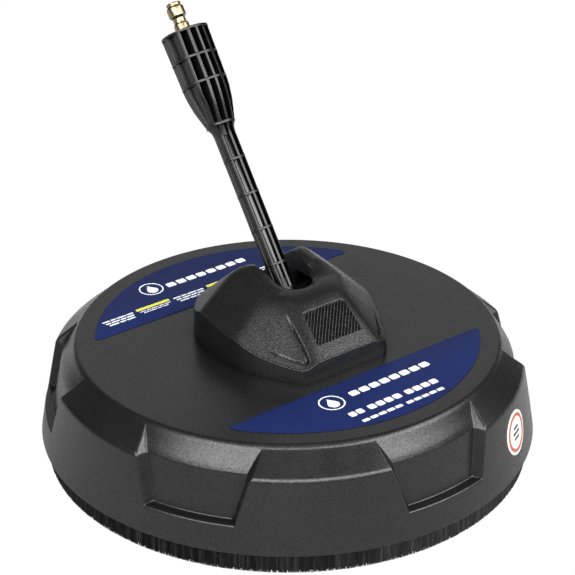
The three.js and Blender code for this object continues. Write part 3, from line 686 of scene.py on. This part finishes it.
# sunk triangular panel of each front facet, (|x|, y) of its corners
PANEL_UPPER, PANEL_LOW, PANEL_OUTER = (25.5, -30.4), (27.4, -66.0), (44.5, -35.2)


def soft_min(blend, arrays):
    """Smallest of the arrays, blended where they are within about `blend` of each other."""
    stack = np.stack(arrays)
    least = stack.min(0)
    return least - blend * np.log(np.exp(-(stack - least) / blend).sum(0))


def slot_distance(x, y):
    """Distance from the slot's middle line."""
    return np.where(y > SLOT_Y, np.abs(x), np.hypot(x, y - SLOT_Y))


def cover_height(x, y):
    """Height of the cover above the deck: sloping planes and a saddle round the slot."""
    side = np.abs(x)
    roof = 53 - 0.89 * (side - 22) - 0.13 * (10.5 - y)
    front = 36.4 + 0.9 * (y + 36.5)
    front_facet = 76.4 - 0.827 * side + 0.646 * y
    back = 53.5 - 0.95 * (y - 14)
    back_facet = 85 - 0.827 * side - 0.7 * y
    rise = np.clip((y + 17) / 15, 0, 1)
    rear_rise = np.clip((y + 2) / 14, 0, 1)
    dip = 3 * (np.maximum(22 - slot_distance(x, y), 0) / 7.5) ** 2
    saddle = 42.9 + 6 * rise * (0.5 + 0.5 * rise) + 2.4 * rear_rise - dip
    shell = soft_min(1.3, [roof, front_facet, back, back_facet])
    return soft_min(2.2, [shell, soft_min(3.0, [front, saddle])])


def centripetal(points, per):
    """Closed centripetal Catmull-Rom curve, with `per` points to each span."""
    pts = np.array(points, float)
    n = len(pts)
    out = []
    for i in range(n):
        p0, p1, p2, p3 = pts[i - 1], pts[i], pts[(i + 1) % n], pts[(i + 2) % n]
        pairs = ((p0, p1), (p1, p2), (p2, p3))
        d0, d1, d2 = (max(np.linalg.norm(b - a), 1e-6) ** 0.5 for a, b in pairs)
        m1 = ((p1 - p0) / d0 - (p2 - p0) / (d0 + d1) + (p2 - p1) / d1) * d1
        m2 = ((p2 - p1) / d1 - (p3 - p1) / (d1 + d2) + (p3 - p2) / d2) * d1
        for t in np.arange(per) / per:
            ends = (2 * t**3 - 3 * t**2 + 1) * p1 + (-2 * t**3 + 3 * t**2) * p2
            out.append(ends + (t**3 - 2 * t**2 + t) * m1 + (t**3 - t**2) * m2)
    return np.array(out)


def resample(path, shares):
    """Points of an open path at shares of its length."""
    lengths = np.linalg.norm(np.diff(path, axis=0), axis=1)
    at = np.concatenate([[0], np.cumsum(lengths)])
    where = np.asarray(shares) * at[-1]
    return np.stack([np.interp(where, at, path[:, 0]), np.interp(where, at, path[:, 1])], 1)


def grip_half(y):
    return GRIP_X0 + (GRIP_X1 - GRIP_X0) * (y - GRIP_Y0) / (GRIP_Y1 - GRIP_Y0)


def grip_inside(x, y):
    """Distance inside the grip patch's border, negative outside."""
    return np.minimum(np.minimum(y - GRIP_Y0, GRIP_Y1 - y), grip_half(y) - np.abs(x))


def left_of(start, end, x, y):
    """Distance to the left of the line from start to end."""
    dx, dy = end[0] - start[0], end[1] - start[1]
    return (dx * (y - start[1]) - dy * (x - start[0])) / math.hypot(dx, dy)


def facet_panel(x, y):
    """Depth of the sunk panels: most at the low corner, none at the far ends."""
    side = np.abs(x)
    from_face = left_of(PANEL_UPPER, PANEL_LOW, side, y)
    from_foot = left_of(PANEL_LOW, PANEL_OUTER, side, y)
    inside = soft_min(3.0, [np.clip(from_face, -9, 40), np.clip(from_foot, -9, 40)])
    down = (side - PANEL_UPPER[0]) * -0.245 + (y - PANEL_UPPER[1]) * -0.969
    deep = np.clip(down / 27.0, 0, 1)
    step = np.clip((inside + 0.05) / 0.4, 0, 1)
    # crease just inside both edges, fainter along the foot
    crease = np.exp(-(((inside - 0.25) / 0.45) ** 2))
    strength = np.where(from_face < from_foot, np.clip(deep * 3, 0, 1),
                        0.3 * np.clip(deep * 2 - 0.1, 0, 1))
    return 2.0 * deep * step + crease * strength


def cover_surface(x, y):
    """Height with the rounding along the slot, the sunk panels and the bed of the grip plate."""
    edge = np.clip(slot_distance(x, y) - SLOT_R, 0, LIP_R)
    h = cover_height(x, y)
    h = h - (LIP_R - np.sqrt(np.maximum(LIP_R * LIP_R - (LIP_R - edge) ** 2, 0)))
    h = h - facet_panel(x, y)
    return h - np.where(grip_inside(x, y) > 0.9, 1.9, 0.0)


def cover_outline():
    """Foot from the rear left of the slot to its rear right, anticlockwise seen from above."""
    rim = centripetal(RIM_HALF + [(-x, y) for x, y in RIM_HALF[1:-1][::-1]], 30)
    rim = rim[~((np.abs(rim[:, 0]) < SLOT_R) & (rim[:, 1] > 0))]
    turn = np.mod(np.arctan2(rim[:, 1] - 10, rim[:, 0]) - math.pi / 2, 2 * math.pi)
    rear_left = np.array([-SLOT_R, REAR_Y])
    return np.vstack([rear_left, rim[np.argsort(turn)], rear_left * (-1, 1)])


def slot_outline():
    """The slot's rim, from its rear left round the front to its rear right."""
    path = [(-SLOT_R, y) for y in np.linspace(REAR_Y, SLOT_Y, 14)]
    path += [(SLOT_R * math.cos(a), SLOT_Y + SLOT_R * math.sin(a))
             for a in np.linspace(math.pi, 2 * math.pi, 40)[1:]]
    path += [(SLOT_R, y) for y in np.linspace(SLOT_Y, REAR_Y, 14)[1:]]
    return np.array(path)


def slot_points(outer):
    """Points of the slot's rim matched to the outline, so that both run side by side."""
    path = slot_outline()
    dense = resample(path, np.linspace(0, 1, 2000))
    nearest = []
    for x, y in outer:
        if y > SLOT_Y + 4:
            goal = (math.copysign(SLOT_R, x), min(y, REAR_Y))
        else:
            a = math.atan2(y - (SLOT_Y + 6), x)
            goal = (SLOT_R * math.cos(a), SLOT_Y + SLOT_R * math.sin(a))
        nearest.append(np.argmin(np.hypot(dense[:, 0] - goal[0], dense[:, 1] - goal[1])))
    share = np.maximum.accumulate(np.array(nearest, float))
    share = np.convolve(np.pad(share, 15, mode="edge"), np.ones(31) / 31, "valid")
    return resample(path, (share - share[0]) / (share[-1] - share[0]))


def at_height(xy, z):
    return np.column_stack([xy, np.broadcast_to(z, len(xy))])


def slot_wall(slot, top_row):
    """Rows from the inside of the roof down the slot wall, across, and back up to the rim."""
    x, y = slot.T
    behind = y > SLOT_Y
    outward = np.stack([np.where(behind, np.sign(x), x / SLOT_R),
                        np.where(behind, 0.0, (y - SLOT_Y) / SLOT_R)], 1)
    wall_out = slot + outward * 2.2
    rim = cover_height(x, y)
    # the wall ends high in front and runs down to the trough at the rear
    ease = np.clip((y - 10.0) / 5.0, 0, 1)
    low = np.minimum(38.0, rim - 4.0) * (1 - ease) + (SLOT_FLOOR - 2.0) * ease
    low = np.minimum(low, rim - 3.0)
    high = np.maximum(cover_height(*wall_out.T) - ROOF_DROP, low + 0.3)
    foot = at_height(slot, DECK_Z + low)
    rows = [at_height(wall_out, DECK_Z + high), at_height(wall_out, DECK_Z + low), foot]
    return rows + [foot + (top_row - foot) * t for t in (0.25, 0.5, 0.75)]


def cover_skin():
    """The cover as one skin: over the top, down the side, up the inside, round the slot wall."""
    outer = resample(cover_outline(), np.linspace(0, 1, COVER_COLS))
    slot = slot_points(outer)
    reach = np.linalg.norm(outer - COVER_CENTRE, axis=1)[:, None]
    rear_ends = np.abs(np.abs(outer[:, 0]) - SLOT_R) < 1e-6

    def drawn_in(xy, amount):
        return COVER_CENTRE + (xy - COVER_CENTRE) * (1 - amount / reach)

    edge = drawn_in(outer, 1.3)
    edge[rear_ends, 0] = outer[rear_ends, 0]
    # top, from the slot's rim to the top edge
    span = np.linalg.norm(edge - slot, axis=1)
    shares = [step / np.maximum(span, 1.7) for step in LIP_STEPS]
    start = shares[-1]
    shares += [start + (1 - start) * j / TOP_ROWS for j in range(1, TOP_ROWS + 1)]
    rows = []
    for share in shares:
        xy = slot + (edge - slot) * share[:, None]
        rows.append(at_height(xy, DECK_Z + np.maximum(cover_surface(*xy.T), 2.0)))
    # rounding over the top edge and the drafted side
    edge_z = rows[-1][:, 2]
    for out, down in EDGE_ROUNDING:
        rows.append(at_height(edge + (outer - edge) * out * 0.45, edge_z - down))
    shoulder, foot = rows[-1], at_height(outer, DECK_Z + FOOT_GAP)
    rows += [shoulder + (foot - shoulder) * t for t in (0.3, 0.6, 0.85, 1.0)]
    # inside of the wall and of the roof
    inset = drawn_in(outer, WALL_DRAW)
    inset[rear_ends, 0] = outer[rear_ends, 0]
    rows.append(at_height(inset, DECK_Z + FOOT_GAP))
    roof_edge = drawn_in(edge, WALL_DRAW)
    for share in (0.0, 0.2, 0.45, 0.7, 0.9):
        xy = roof_edge + (slot - roof_edge) * share * 0.9
        rows.append(at_height(xy, DECK_Z + np.maximum(cover_height(*xy.T) - ROOF_DROP, 4.0)))
    rows += slot_wall(slot, rows[0])
    faces = grid_faces(len(rows), COVER_COLS, wrap_u=True)
    first = tuple(range(0, len(rows) * COVER_COLS, COVER_COLS))
    faces += [first, tuple(i + COVER_COLS - 1 for i in first)[::-1]]
    return np.concatenate(rows), faces


def grip_plate():
    """Grooved plate let into the front face."""
    nx, ny = 220, 116
    along, across = np.meshgrid(np.linspace(0, 1, ny), np.linspace(-1, 1, nx))
    y = GRIP_Y0 + (GRIP_Y1 - GRIP_Y0) * along
    x = across * grip_half(y)
    phase = (GRIP_SLANT[0] * x + GRIP_SLANT[1] * y - 13.2) / GRIP_PITCH
    groove = np.clip((0.5 - 0.5 * np.cos(2 * np.pi * phase)) * 1.7 - 0.35, 0, 1)
    fade = np.clip((grip_inside(x, y) - 0.25) / 0.3, 0, 1)
    z = DECK_Z + cover_height(x, y) + 0.05 - fade * (0.25 + 1.25 * groove)
    top = np.stack([x, y, z], -1).reshape(-1, 3)
    border = [i * ny for i in range(nx)] + [(nx - 1) * ny + j for j in range(1, ny)]
    border += [i * ny + ny - 1 for i in range(nx - 2, -1, -1)] + list(range(ny - 2, 0, -1))
    faces = grid_faces(nx, ny)
    base, count = nx * ny, len(border)
    for i in range(count):
        j = (i + 1) % count
        faces.append((border[i], base + i, base + j, border[j]))
    faces.append(tuple(range(base, base + count))[::-1])
    return np.concatenate([top, top[border] - (0, 0, 2.2)]), faces


def build_cover():
    shells = Shells()
    shells.add(cover_skin())
    # trough floor and the lip that closes it at the rear
    floor_z = DECK_Z + SLOT_FLOOR
    trough = rounded(rect(-SLOT_R - 1.2, SLOT_R + 1.2, 15.2, 46.0), 0.5, 2)
    shells.add(prism(trough, floor_z - 2.2, floor_z))
    half, rear = SLOT_R + 1.5, REAR_Y - 0.9
    lip = [(-half, 45.0), (half, 45.0), (half, rear), (SLOT_R * 0.5, REAR_Y - 0.4),
           (-SLOT_R * 0.5, REAR_Y - 0.4), (-half, rear)]
    shells.add(prism(lip, DECK_Z + FOOT_GAP, floor_z, bevel=0.9))
    # screw posts
    for x, y in SCREW_SPOTS:
        height = float(cover_height(np.array([float(x)]), np.array([float(y)]))[0])
        shells.add(tube(1.9, 4.4, FOOT_GAP, height - 7.0, 24), shift=(x, y, DECK_Z))
    shells.add(grip_plate())
    shells.build("cover_shell", [cover_mat], sharp=55, replaces="hub_cover",
                 weigh=True)


build_cover()

# ---------------------------------------------------------------- labels
LABEL_R, LABEL_CORNER = 127.0, 6.0
LABEL_Z0, LABEL_Z1 = DECK_Z + 0.06, DECK_Z + 0.45
INK_Z0, INK_Z1 = LABEL_Z1 - 0.1, LABEL_Z1 + 0.06
WHITE, YELLOW = 1, 2  # material numbers on a label
# front lines: left, right, y, height, number of blocks, gap
FRONT_LINES = [
    (-19.5, 45.5, -88.4, 5.4, 8, 0.22),
    (-35.5, -24.5, -107.7, 5.2, 2, 0.2), (-20.5, 5.5, -107.9, 5.2, 4, 0.2),
    (9.5, 35.5, -108.1, 5.2, 4, 0.2),
    (-33.5, -1.5, -117.9, 2.8, 5, 0.2), (2.0, 32.5, -118.1, 2.8, 5, 0.2),
]
# columns of small print on the rear label: left, right; every second one has a yellow heading
REAR_COLUMNS = [(-90.5, -66.0), (-63.0, -36.0), (-33.0, -8.0), (-4.5, 24.0), (28.0, 54.0),
                (58.0, 84.0)]
# lines of a column: left inset, right inset, y, height, block widths, gap, ink
PLAIN_COLUMN = [(0, 0, 84.4, 1.5, [7, 5, 9, 6], 0.9, WHITE),
                (1, 1, 81.5, 1.5, [5, 8, 6, 7], 0.9, WHITE),
                (2, 2, 78.6, 1.5, [8, 5, 7], 0.9, WHITE)]
HEADED_COLUMN = [(0, 0, 85.2, 2.9, [1], 0, YELLOW),
                 (1, 1, 81.9, 0.9, [6, 4, 7, 5, 6], 0.8, WHITE),
                 (3, 4, 79.7, 0.9, [5, 7, 4, 6], 0.8, WHITE)]


def segment_outline(edge):
    """Circle segment beyond the straight edge y = edge, with its two tips rounded."""
    half = math.acos(abs(edge) / LABEL_R)
    middle = math.copysign(math.pi / 2, edge)
    trim = LABEL_CORNER / LABEL_R

    def on_arc(a):
        return (LABEL_R * math.cos(a), LABEL_R * math.sin(a))

    def inward(tip):
        return (tip[0] + math.copysign(LABEL_CORNER, -tip[0]), tip[1])

    arc = [on_arc(a) for a in np.linspace(middle - half + trim, middle + half - trim, 90)]
    first, last = on_arc(middle - half), on_arc(middle + half)
    end = bezier(arc[-1], last, inward(last), 8)[1:]
    return arc + end + bezier(inward(first), first, arc[0], 8)[:-1]


def drop_outline(cx, cy, r):
    """Drop with its point toward +y."""
    points = []
    for a in np.linspace(-math.pi * 0.5, math.pi * 1.5, 40, endpoint=False):
        x, y = r * math.cos(a), r * math.sin(a)
        if y > 0:
            x *= 1 - 0.9 * (y / r) ** 1.4
            y *= 1.75
        points.append((cx + x, cy + y - r * 0.3))
    return points


def add_emblem(shells, x, y):
    """White drop in a ring."""
    shells.add(tube(7.6, 8.6, INK_Z0, INK_Z1, 72), WHITE, shift=(x, y, 0))
    shells.add(prism(drop_outline(x, y - 0.6, 4.0), INK_Z0, INK_Z1), WHITE)


def add_line(shells, left, right, y, height, widths, gap, ink):
    """A printed line stood for by plain rounded bars; widths and gap are relative."""
    scale = (right - left) / (sum(widths) + gap * (len(widths) - 1))
    for width in widths:
        wide = width * scale
        bar = rect(left, left + wide, y - height / 2, y + height / 2)
        shells.add(prism(rounded(bar, min(height, wide) * 0.28, 3), INK_Z0, INK_Z1), ink)
        left += (width + gap) * scale


def build_front_label():
    shells = Shells()
    shells.add(prism(segment_outline(-72.5), LABEL_Z0, LABEL_Z1, bevel=0.12))
    add_emblem(shells, -34.7, -89.3)
    for left, right, y, height, count, gap in FRONT_LINES:
        add_line(shells, left, right, y, height, [1] * count, gap, WHITE)
    shells.build("front_label_film", [blue_mat, white_ink], sharp=30, replaces="front_label")


def build_rear_label():
    shells = Shells()
    shells.add(prism(segment_outline(67.4), LABEL_Z0, LABEL_Z1, bevel=0.12))
    add_emblem(shells, -36.8, 105.4)
    add_line(shells, -25.5, 41.0, 102.8, 5.4, [1] * 8, 0.22, WHITE)
    for i, (left, right) in enumerate(REAR_COLUMNS):
        for inset_left, inset_right, *rest in HEADED_COLUMN if i % 2 else PLAIN_COLUMN:
            add_line(shells, left + inset_left, right - inset_right, *rest)
    shells.build("rear_label_film", [blue_mat, white_ink, yellow_ink], sharp=30,
                 replaces="rear_label")


STICKER_ANGLE, STICKER_Z = math.radians(-62.3), 42.0


def on_wall(shell):
    """Bend a flat shell onto the wall: x runs round it, y up it and z out from it."""
    verts, faces = shell
    bent = []
    for x, y, lift in verts:
        z = STICKER_Z + y
        r = wall_r(z) + lift
        a = STICKER_ANGLE + x / wall_r(STICKER_Z)
        bent.append((r * math.cos(a), r * math.sin(a), z))
    return bent, faces


def sticker_disc(r_in, r_out, lift0, lift1):
    """Flat disc, or a ring where r_in is not 0."""
    start = [(r_in, lift0), (r_in, lift1)] if r_in else [(0, lift1)]
    end = [] if r_in else [(0, lift0)]
    profile = start + [((r_in + r_out) / 2, lift1), (r_out, lift1), (r_out, lift0)] + end
    segs = 72
    verts, rings = turned_rings(profile, segs)
    pairs = list(zip(rings, rings[1:] + rings[:1]))
    faces = []
    for (a, count_a), (b, count_b) in pairs if r_in else pairs[:-1]:
        for i in range(segs):
            j = (i + 1) % segs
            if count_a == 1:
                faces.append((a, b + i, b + j))
            elif count_b == 1:
                faces.append((a + j, a + i, b))
            else:
                faces.append((a + i, b + i, b + j, a + j))
    return verts, faces


def build_sticker():
    """Round white sticker that follows the wall, with a plain ring and three bars."""
    shells = Shells()
    shells.add(on_wall(sticker_disc(0, 14.6, 0.06, 0.5)), 0)
    shells.add(on_wall(sticker_disc(10.6, 12.8, 0.4, 0.72)), 1)
    for y, wide in ((3.6, 7.5), (0.0, 10.5), (-3.6, 7.5)):
        bar = rounded(rect(-wide / 2, wide / 2, y - 0.9, y + 0.9), 0.6, 3)
        shells.add(on_wall(prism(bar, 0.42, 0.72)), 2)
    shells.build("round_sticker_film", [paper_mat, orange_ink, grey_ink], sharp=40,
                 replaces="round_sticker")


build_front_label()
build_rear_label()
build_sticker()

# ---------------------------------------------------------------- lance
# Built upright with z along the lance from the pivot, then leaned back.
LEAN = math.radians(36.72)
LANCE_MATRIX = (Matrix.Translation((0, PIVOT_Y * MM, PIVOT_Z * MM))
                @ Matrix.Rotation(-LEAN, 4, "X"))
SHIFT = 3.68  # added to the stations measured along the lance
NECK = 119.6 + SHIFT  # where the slim lower lance widens into the head
TOP = 185.3 + SHIFT
FIN, WEB = 1.85, 2.4  # thickness of the middle fin and of the web across it
# (z, value) along the head
HEAD_R = [(NECK - 8, 7.35), (NECK - 4, 7.9), (NECK, 9.9), (NECK + 6, 11.6), (NECK + 14, 13.7),
          (NECK + 24, 15.3), (TOP, 16.2)]
# inner and outer faces of the two side fins
HEAD_FINS = [
    ([(NECK - 8, 4.0), (NECK + 18, 4.95)], [(NECK - 8, 5.8), (NECK + 18, 6.75)]),
    ([(NECK - 8, 4.9), (NECK, 7.6), (NECK + 22, 10.85)],
     [(NECK - 8, 6.9), (NECK, 9.5), (NECK + 22, 12.65)]),
]
# plug, (r, z above TOP)
PLUG_PROFILE = [
    (2.6, -8), (5.2, -8), (5.2, 5.6), (4.3, 6.5), (4.3, 9.7), (5.85, 11.3), (5.85, 17.2),
    (4.75, 18.3), (4.75, 19.3), (4.95, 19.5), (4.95, 20.3), (4.4, 20.7), (3.3, 20.7), (2.6, 20.0),
]


def quarter_section(radius, core, fins, rounding=0.32):
    """Quarter section from the middle fin (+y) to the web (+x).

    core is the radius of the round core, fins the (inner, outer) distances of the side fins.
    """
    limit = radius * 0.985
    edges = [FIN / 2]
    for inner, outer in fins:
        edges += [min(inner, limit - 0.25), min(outer, limit)]
    for i in range(1, len(edges)):
        edges[i] = max(edges[i], edges[i - 1] + 0.02)
    half_web = WEB / 2

    def rim(x):
        return math.sqrt(max(radius * radius - x * x, 0.0))

    def floor(x):
        pocket = max(half_web, math.sqrt(max(core * core - x * x, 0.0)))
        return min(pocket, rim(x) - 0.02)

    # (x, y, whether it is a corner to round)
    points = [(0.0, radius, False), (FIN / 4, rim(FIN / 4), False)]
    for i in range(0, len(edges) - 1, 2):
        left, right, fin_end = edges[i : i + 3]
        points += [(left, rim(left), True), (left, floor(left), True)]
        for t in (0.2, 0.4, 0.6, 0.8):
            x = left + (right - left) * t
            points.append((x, floor(x), False))
        points += [(right, floor(right), True), (right, rim(right), True)]
        for t in (0.33, 0.66):
            x = right + (fin_end - right) * t
            points.append((x, rim(x), False))
    last = edges[-1]
    points += [
        (last, max(rim(last), half_web + 0.02), True),
        (last, half_web, True),
        (max(rim(half_web), last + 0.02), half_web, True),
        (rim(half_web / 2), half_web / 2, False),
        (radius, 0.0, False),
    ]
    out = []
    for i, (x, y, is_corner) in enumerate(points):
        if not is_corner:
            out.append((x, y))
            continue
        corner = np.array((x, y))
        back = np.array(points[i - 1][:2]) - corner
        ahead = np.array(points[i + 1][:2]) - corner
        len_back, len_ahead = np.linalg.norm(back) + 1e-9, np.linalg.norm(ahead) + 1e-9
        cut = min(rounding, 0.45 * len_back, 0.45 * len_ahead)
        out += bezier(corner + back / len_back * cut, corner, corner + ahead / len_ahead * cut, 3)
    return out


def full_section(quarter):
    """Whole section from its quarter, counter-clockwise from +x."""
    right_top = quarter[::-1]
    left_top = [(-x, y) for x, y in quarter[1:]]
    left_bottom = [(-x, -y) for x, y in quarter[::-1][1:]]
    right_bottom = [(x, -y) for x, y in quarter[1:-1]]
    return right_top + left_top + left_bottom + right_bottom


def head_section(z, core):
    def value(table):
        return float(np.interp(z, [a for a, _ in table], [b for _, b in table]))

    fins = [(value(inner), value(outer)) for inner, outer in HEAD_FINS]
    return full_section(quarter_section(value(HEAD_R), core, fins))


def plate(radius, z0, z1, edge, segs):
    """Round plate across the lance, with rounded outer edges."""
    return lathe(rounded(rect(0, radius, z0, z1), [0, edge, edge, 0], 3), segs)


def build_moulding():
    shells = Shells()
    # lower lance with its cross plates
    low = full_section(quarter_section(7.4, 4.1, [(4.8, 6.65)], rounding=0.3))
    stations = [7.6, 14.6, 40, 70, 100, NECK - 3.5]
    shells.add(loft([low] * len(stations), stations))
    for station in (20.7, 45.3, 70.0, 94.8):
        z = station + SHIFT
        shells.add(plate(7.62, z - 0.85, z + 0.85, 0.3, 64))
    # head: the open part, then the part round the thick core
    steps = (-7.99, -4, 0, 3, 6, 10, 14, 18, 22, 26, 32)
    stations = [NECK + step for step in steps] + [166.2 + SHIFT]
    shells.add(loft([head_section(z, core=4.8) for z in stations], stations))
    stations = [166.1 + SHIFT, 172 + SHIFT, 180 + SHIFT, TOP - 0.5]
    shells.add(loft([head_section(z, core=9.3) for z in stations], stations))
    # plates across the head: radius, z, half thickness
    for radius, z, half in ((10.15, NECK, 0.95), (15.65, 148.9 + SHIFT, 0.9),
                            (15.95, 166.4 + SHIFT, 0.9)):
        shells.add(plate(radius, z - half, z + half, 0.3, 72))
    shells.add(plate(16.35, TOP - 1.7, TOP, 0.4, 96))
    shells.build("wand_moulding", [lance_mat], sharp=32, replaces="wand_shell",
                 rides="lance", matrix=LANCE_MATRIX)


def build_conduit():
    """Glossy tube seen at the bottom of the lower lance's pockets, and a thinner one above."""
    shells = Shells()
    shells.add(lathe(rounded(rect(1.9, 4.22, 8.0, NECK + 4.0), 0.2, 2), 48))
    shells.add(tube(1.9, 2.8, NECK + 3.9, TOP - 12, 40))
    shells.build("lance_conduit", [core_mat], sharp=40, replaces="lance_tube",
                 rides="lance", matrix=LANCE_MATRIX)


def build_plug():
    """Quick-connect plug with a hexagon at its foot."""
    shells = Shells()
    shells.add(lathe(rounded([(r, TOP + z) for r, z in PLUG_PROFILE], 0.25, 3), 72))
    hexagon = [(6.9 * math.cos(a), 6.9 * math.sin(a)) for a in np.linspace(0, 2 * math.pi, 7)[:-1]]
    shells.add(prism(rounded(hexagon, 0.5, 2), TOP - 10.5, TOP - 0.4, bevel=0.3))
    shells.build("plug_body", [brass_mat], sharp=28, replaces="quick_connect_plug",
                 rides="lance", matrix=LANCE_MATRIX)


build_moulding()
build_conduit()
build_plug()

# ---------------------------------------------------------------- finishes of the CAD pieces shown
# pieces not listed are zinc if they are screws, otherwise steel
FINISHES = [
    (black_metal_mat, ("swivel_manifold", "pivot_pin", "pin_washer", "pin_nut",
                       "trunnion_block")),
    (rubber_mat, ("manifold_gasket", "shaft_seal", "pivot_o_ring_left", "pivot_o_ring_right")),
    (dark_brass_mat, ("pivot_bush_left", "pivot_bush_right", "rotor_hub", "nozzle_elbow_left",
                      "nozzle_elbow_right")),
    (brass_mat, ("spray_nozzle_left", "spray_nozzle_right")),
]


def finish_cad_pieces():
    finish = {name: material for material, names in FINISHES for name in names}
    for name, ob in cad_nodes.items():
        if ob.hide_render:
            continue
        material = finish.get(name, zinc_mat if "screw" in name else steel_mat)
        if not ob.material_slots:
            ob.data.materials.append(material)
        for slot in ob.material_slots:
            slot.material = material
        ob.data.polygons.foreach_set("use_smooth", [True] * len(ob.data.polygons))
        ob.data.set_sharp_from_angle(angle=math.radians(34))


finish_cad_pieces()


# ---------------------------------------------------------------- floor, world, light and camera (m)
def floor_paper():
    """Backdrop sheet: nearly white to the camera, with only a trace of the shadow."""
    m = Material("floor_paper")
    tone = m.noise(1.2, detail=2.0)
    m.shade({"Base Color": m.ramp(tone, [(0.3, (0.50,) * 3), (0.7, (0.54,) * 3)])})
    m.shade({"Roughness": m.remap(m.noise(40.0), 0.75, 0.9), SPECULAR: 0.1})
    glow = m.new("ShaderNodeEmission", {"Color": (1, 1, 1, 1), "Strength": 1.045})
    sheet = m.new("ShaderNodeMixShader")
    camera_ray = m.new("ShaderNodeLightPath").outputs["Is Camera Ray"]
    glow_share = m.math("MULTIPLY", camera_ray, 0.93)
    for i, source in enumerate((glow_share, m.principled.outputs[0], glow.outputs[0])):
        m.feed(sheet.inputs[i], source)
    m.feed(m.output.inputs[0], sheet.outputs[0])
    return m.material


def build_floor():
    half = 3.2
    mesh = bpy.data.meshes.new("floor")
    corners = [(x, y, 0) for x, y in rect(-half, half, -half, half)]
    mesh.from_pydata(corners, [], [(0, 1, 2, 3)])
    floor = bpy.data.objects.new("floor", mesh)
    scene.collection.objects.link(floor)
    floor.location.z = -0.0004
    mesh.materials.append(floor_paper())


# dim surroundings, (ramp position, level)
SKY = [(0.0, 0.07), (0.30, 0.08), (0.60, 0.09), (0.80, 0.10), (0.9, 0.11), (1.0, 0.12)]


def build_world():
    """Dim sky with two soft boxes; plain white where the camera sees past the floor."""
    world = bpy.data.worlds.new("studio")
    scene.world = world
    w = Shader(world)
    output = w.new("ShaderNodeOutputWorld")
    lit = w.new("ShaderNodeBackground", {"Strength": 1.0})
    coords = w.new("ShaderNodeTexCoord")
    split = w.new("ShaderNodeSeparateXYZ", {0: coords.outputs["Generated"]})
    x, y, z = (split.outputs[axis] for axis in "XYZ")
    sky = w.ramp(z, [(position, (g, g, g * 1.01)) for position, g in SKY])
    length = w.math("SQRT", w.math("ADD", w.math("MULTIPLY", x, x), w.math("MULTIPLY", y, y)))
    flat = w.math("MAXIMUM", length, 0.001)

    def step(value, zero_at, one_at):
        """Smooth change from 0 at zero_at to 1 at one_at."""
        rising = zero_at < one_at
        ends = (min(zero_at, one_at), max(zero_at, one_at))
        return w.remap(value, 0.0 if rising else 1.0, 1.0 if rising else 0.0, *ends,
                       interpolation_type="SMOOTHSTEP")

    def softbox(polar, sides, bottom, top):
        """Soft patch of light toward a polar angle in degrees; the rest are step ranges."""
        c, s = math.cos(math.radians(polar)), math.sin(math.radians(polar))
        facing = w.math("ADD", w.math("MULTIPLY", x, c), w.math("MULTIPLY", y, s))
        across = step(w.math("DIVIDE", facing, flat), *sides)
        return w.math("MULTIPLY", across, w.math("MULTIPLY", step(z, *bottom), step(z, *top)))

    front = softbox(-109, sides=(-0.02, 0.5), bottom=(0.30, 0.46), top=(0.80, 0.64))
    rear = softbox(56, sides=(0.62, 0.97), bottom=(0.08, 0.26), top=(0.86, 0.55))
    total = w.new("ShaderNodeVectorMath", {0: sky}, operation="ADD")
    front_level, rear_level = 8.6, 0.5
    boxes = w.math("ADD", w.math("MULTIPLY", front, front_level),
                   w.math("MULTIPLY", rear, rear_level))
    w.feed(total.inputs[1], boxes)
    w.feed(lit.inputs["Color"], total.outputs[0])
    white = w.new("ShaderNodeBackground", {"Color": (1, 1, 1, 1)})
    mix = w.new("ShaderNodeMixShader")
    camera_ray = w.new("ShaderNodeLightPath").outputs["Is Camera Ray"]
    for i, source in enumerate((camera_ray, lit.outputs[0], white.outputs[0])):
        w.feed(mix.inputs[i], source)
    w.feed(output.inputs[0], mix.outputs[0])


def stage_aimed(name, data, polar, elevation, distance, target):
    """Link a light or camera at polar and elevation angles (degrees) from the target it faces."""
    ob = bpy.data.objects.new(name, data)
    scene.collection.objects.link(ob)
    a, b = math.radians(polar), math.radians(elevation)
    away = Vector((math.cos(a) * math.cos(b), math.sin(a) * math.cos(b), math.sin(b)))
    ob.location = Vector(target) + away * distance
    ob.rotation_mode = "QUATERNION"
    ob.rotation_quaternion = away.to_track_quat("Z", "Y")
    return ob


def build_light():
    light = bpy.data.lights.new("soft_fill", "AREA")
    light.shape = "RECTANGLE"
    light.size, light.size_y = 2.0, 1.0
    light.energy = 3
    light.spread = math.radians(180)
    stage_aimed("soft_fill", light, polar=-100, elevation=78, distance=3.4, target=(0, 0, 0.06))


def build_camera():
    camera = bpy.data.cameras.new("camera")
    camera.sensor_width = 36.0
    camera.lens = 124.528696
    camera.clip_start, camera.clip_end = 0.05, 60.0
    scene.camera = stage_aimed("camera", camera, polar=-127.9, elevation=27.56, distance=1.300,
                               target=(0, 0, 0.11175))


build_floor()
build_world()
build_light()
build_camera()
scene.view_settings.view_transform = "Standard"
scene.view_settings.look = "None"
scene.view_settings.exposure = 0.0
scene.view_settings.gamma = 1.0
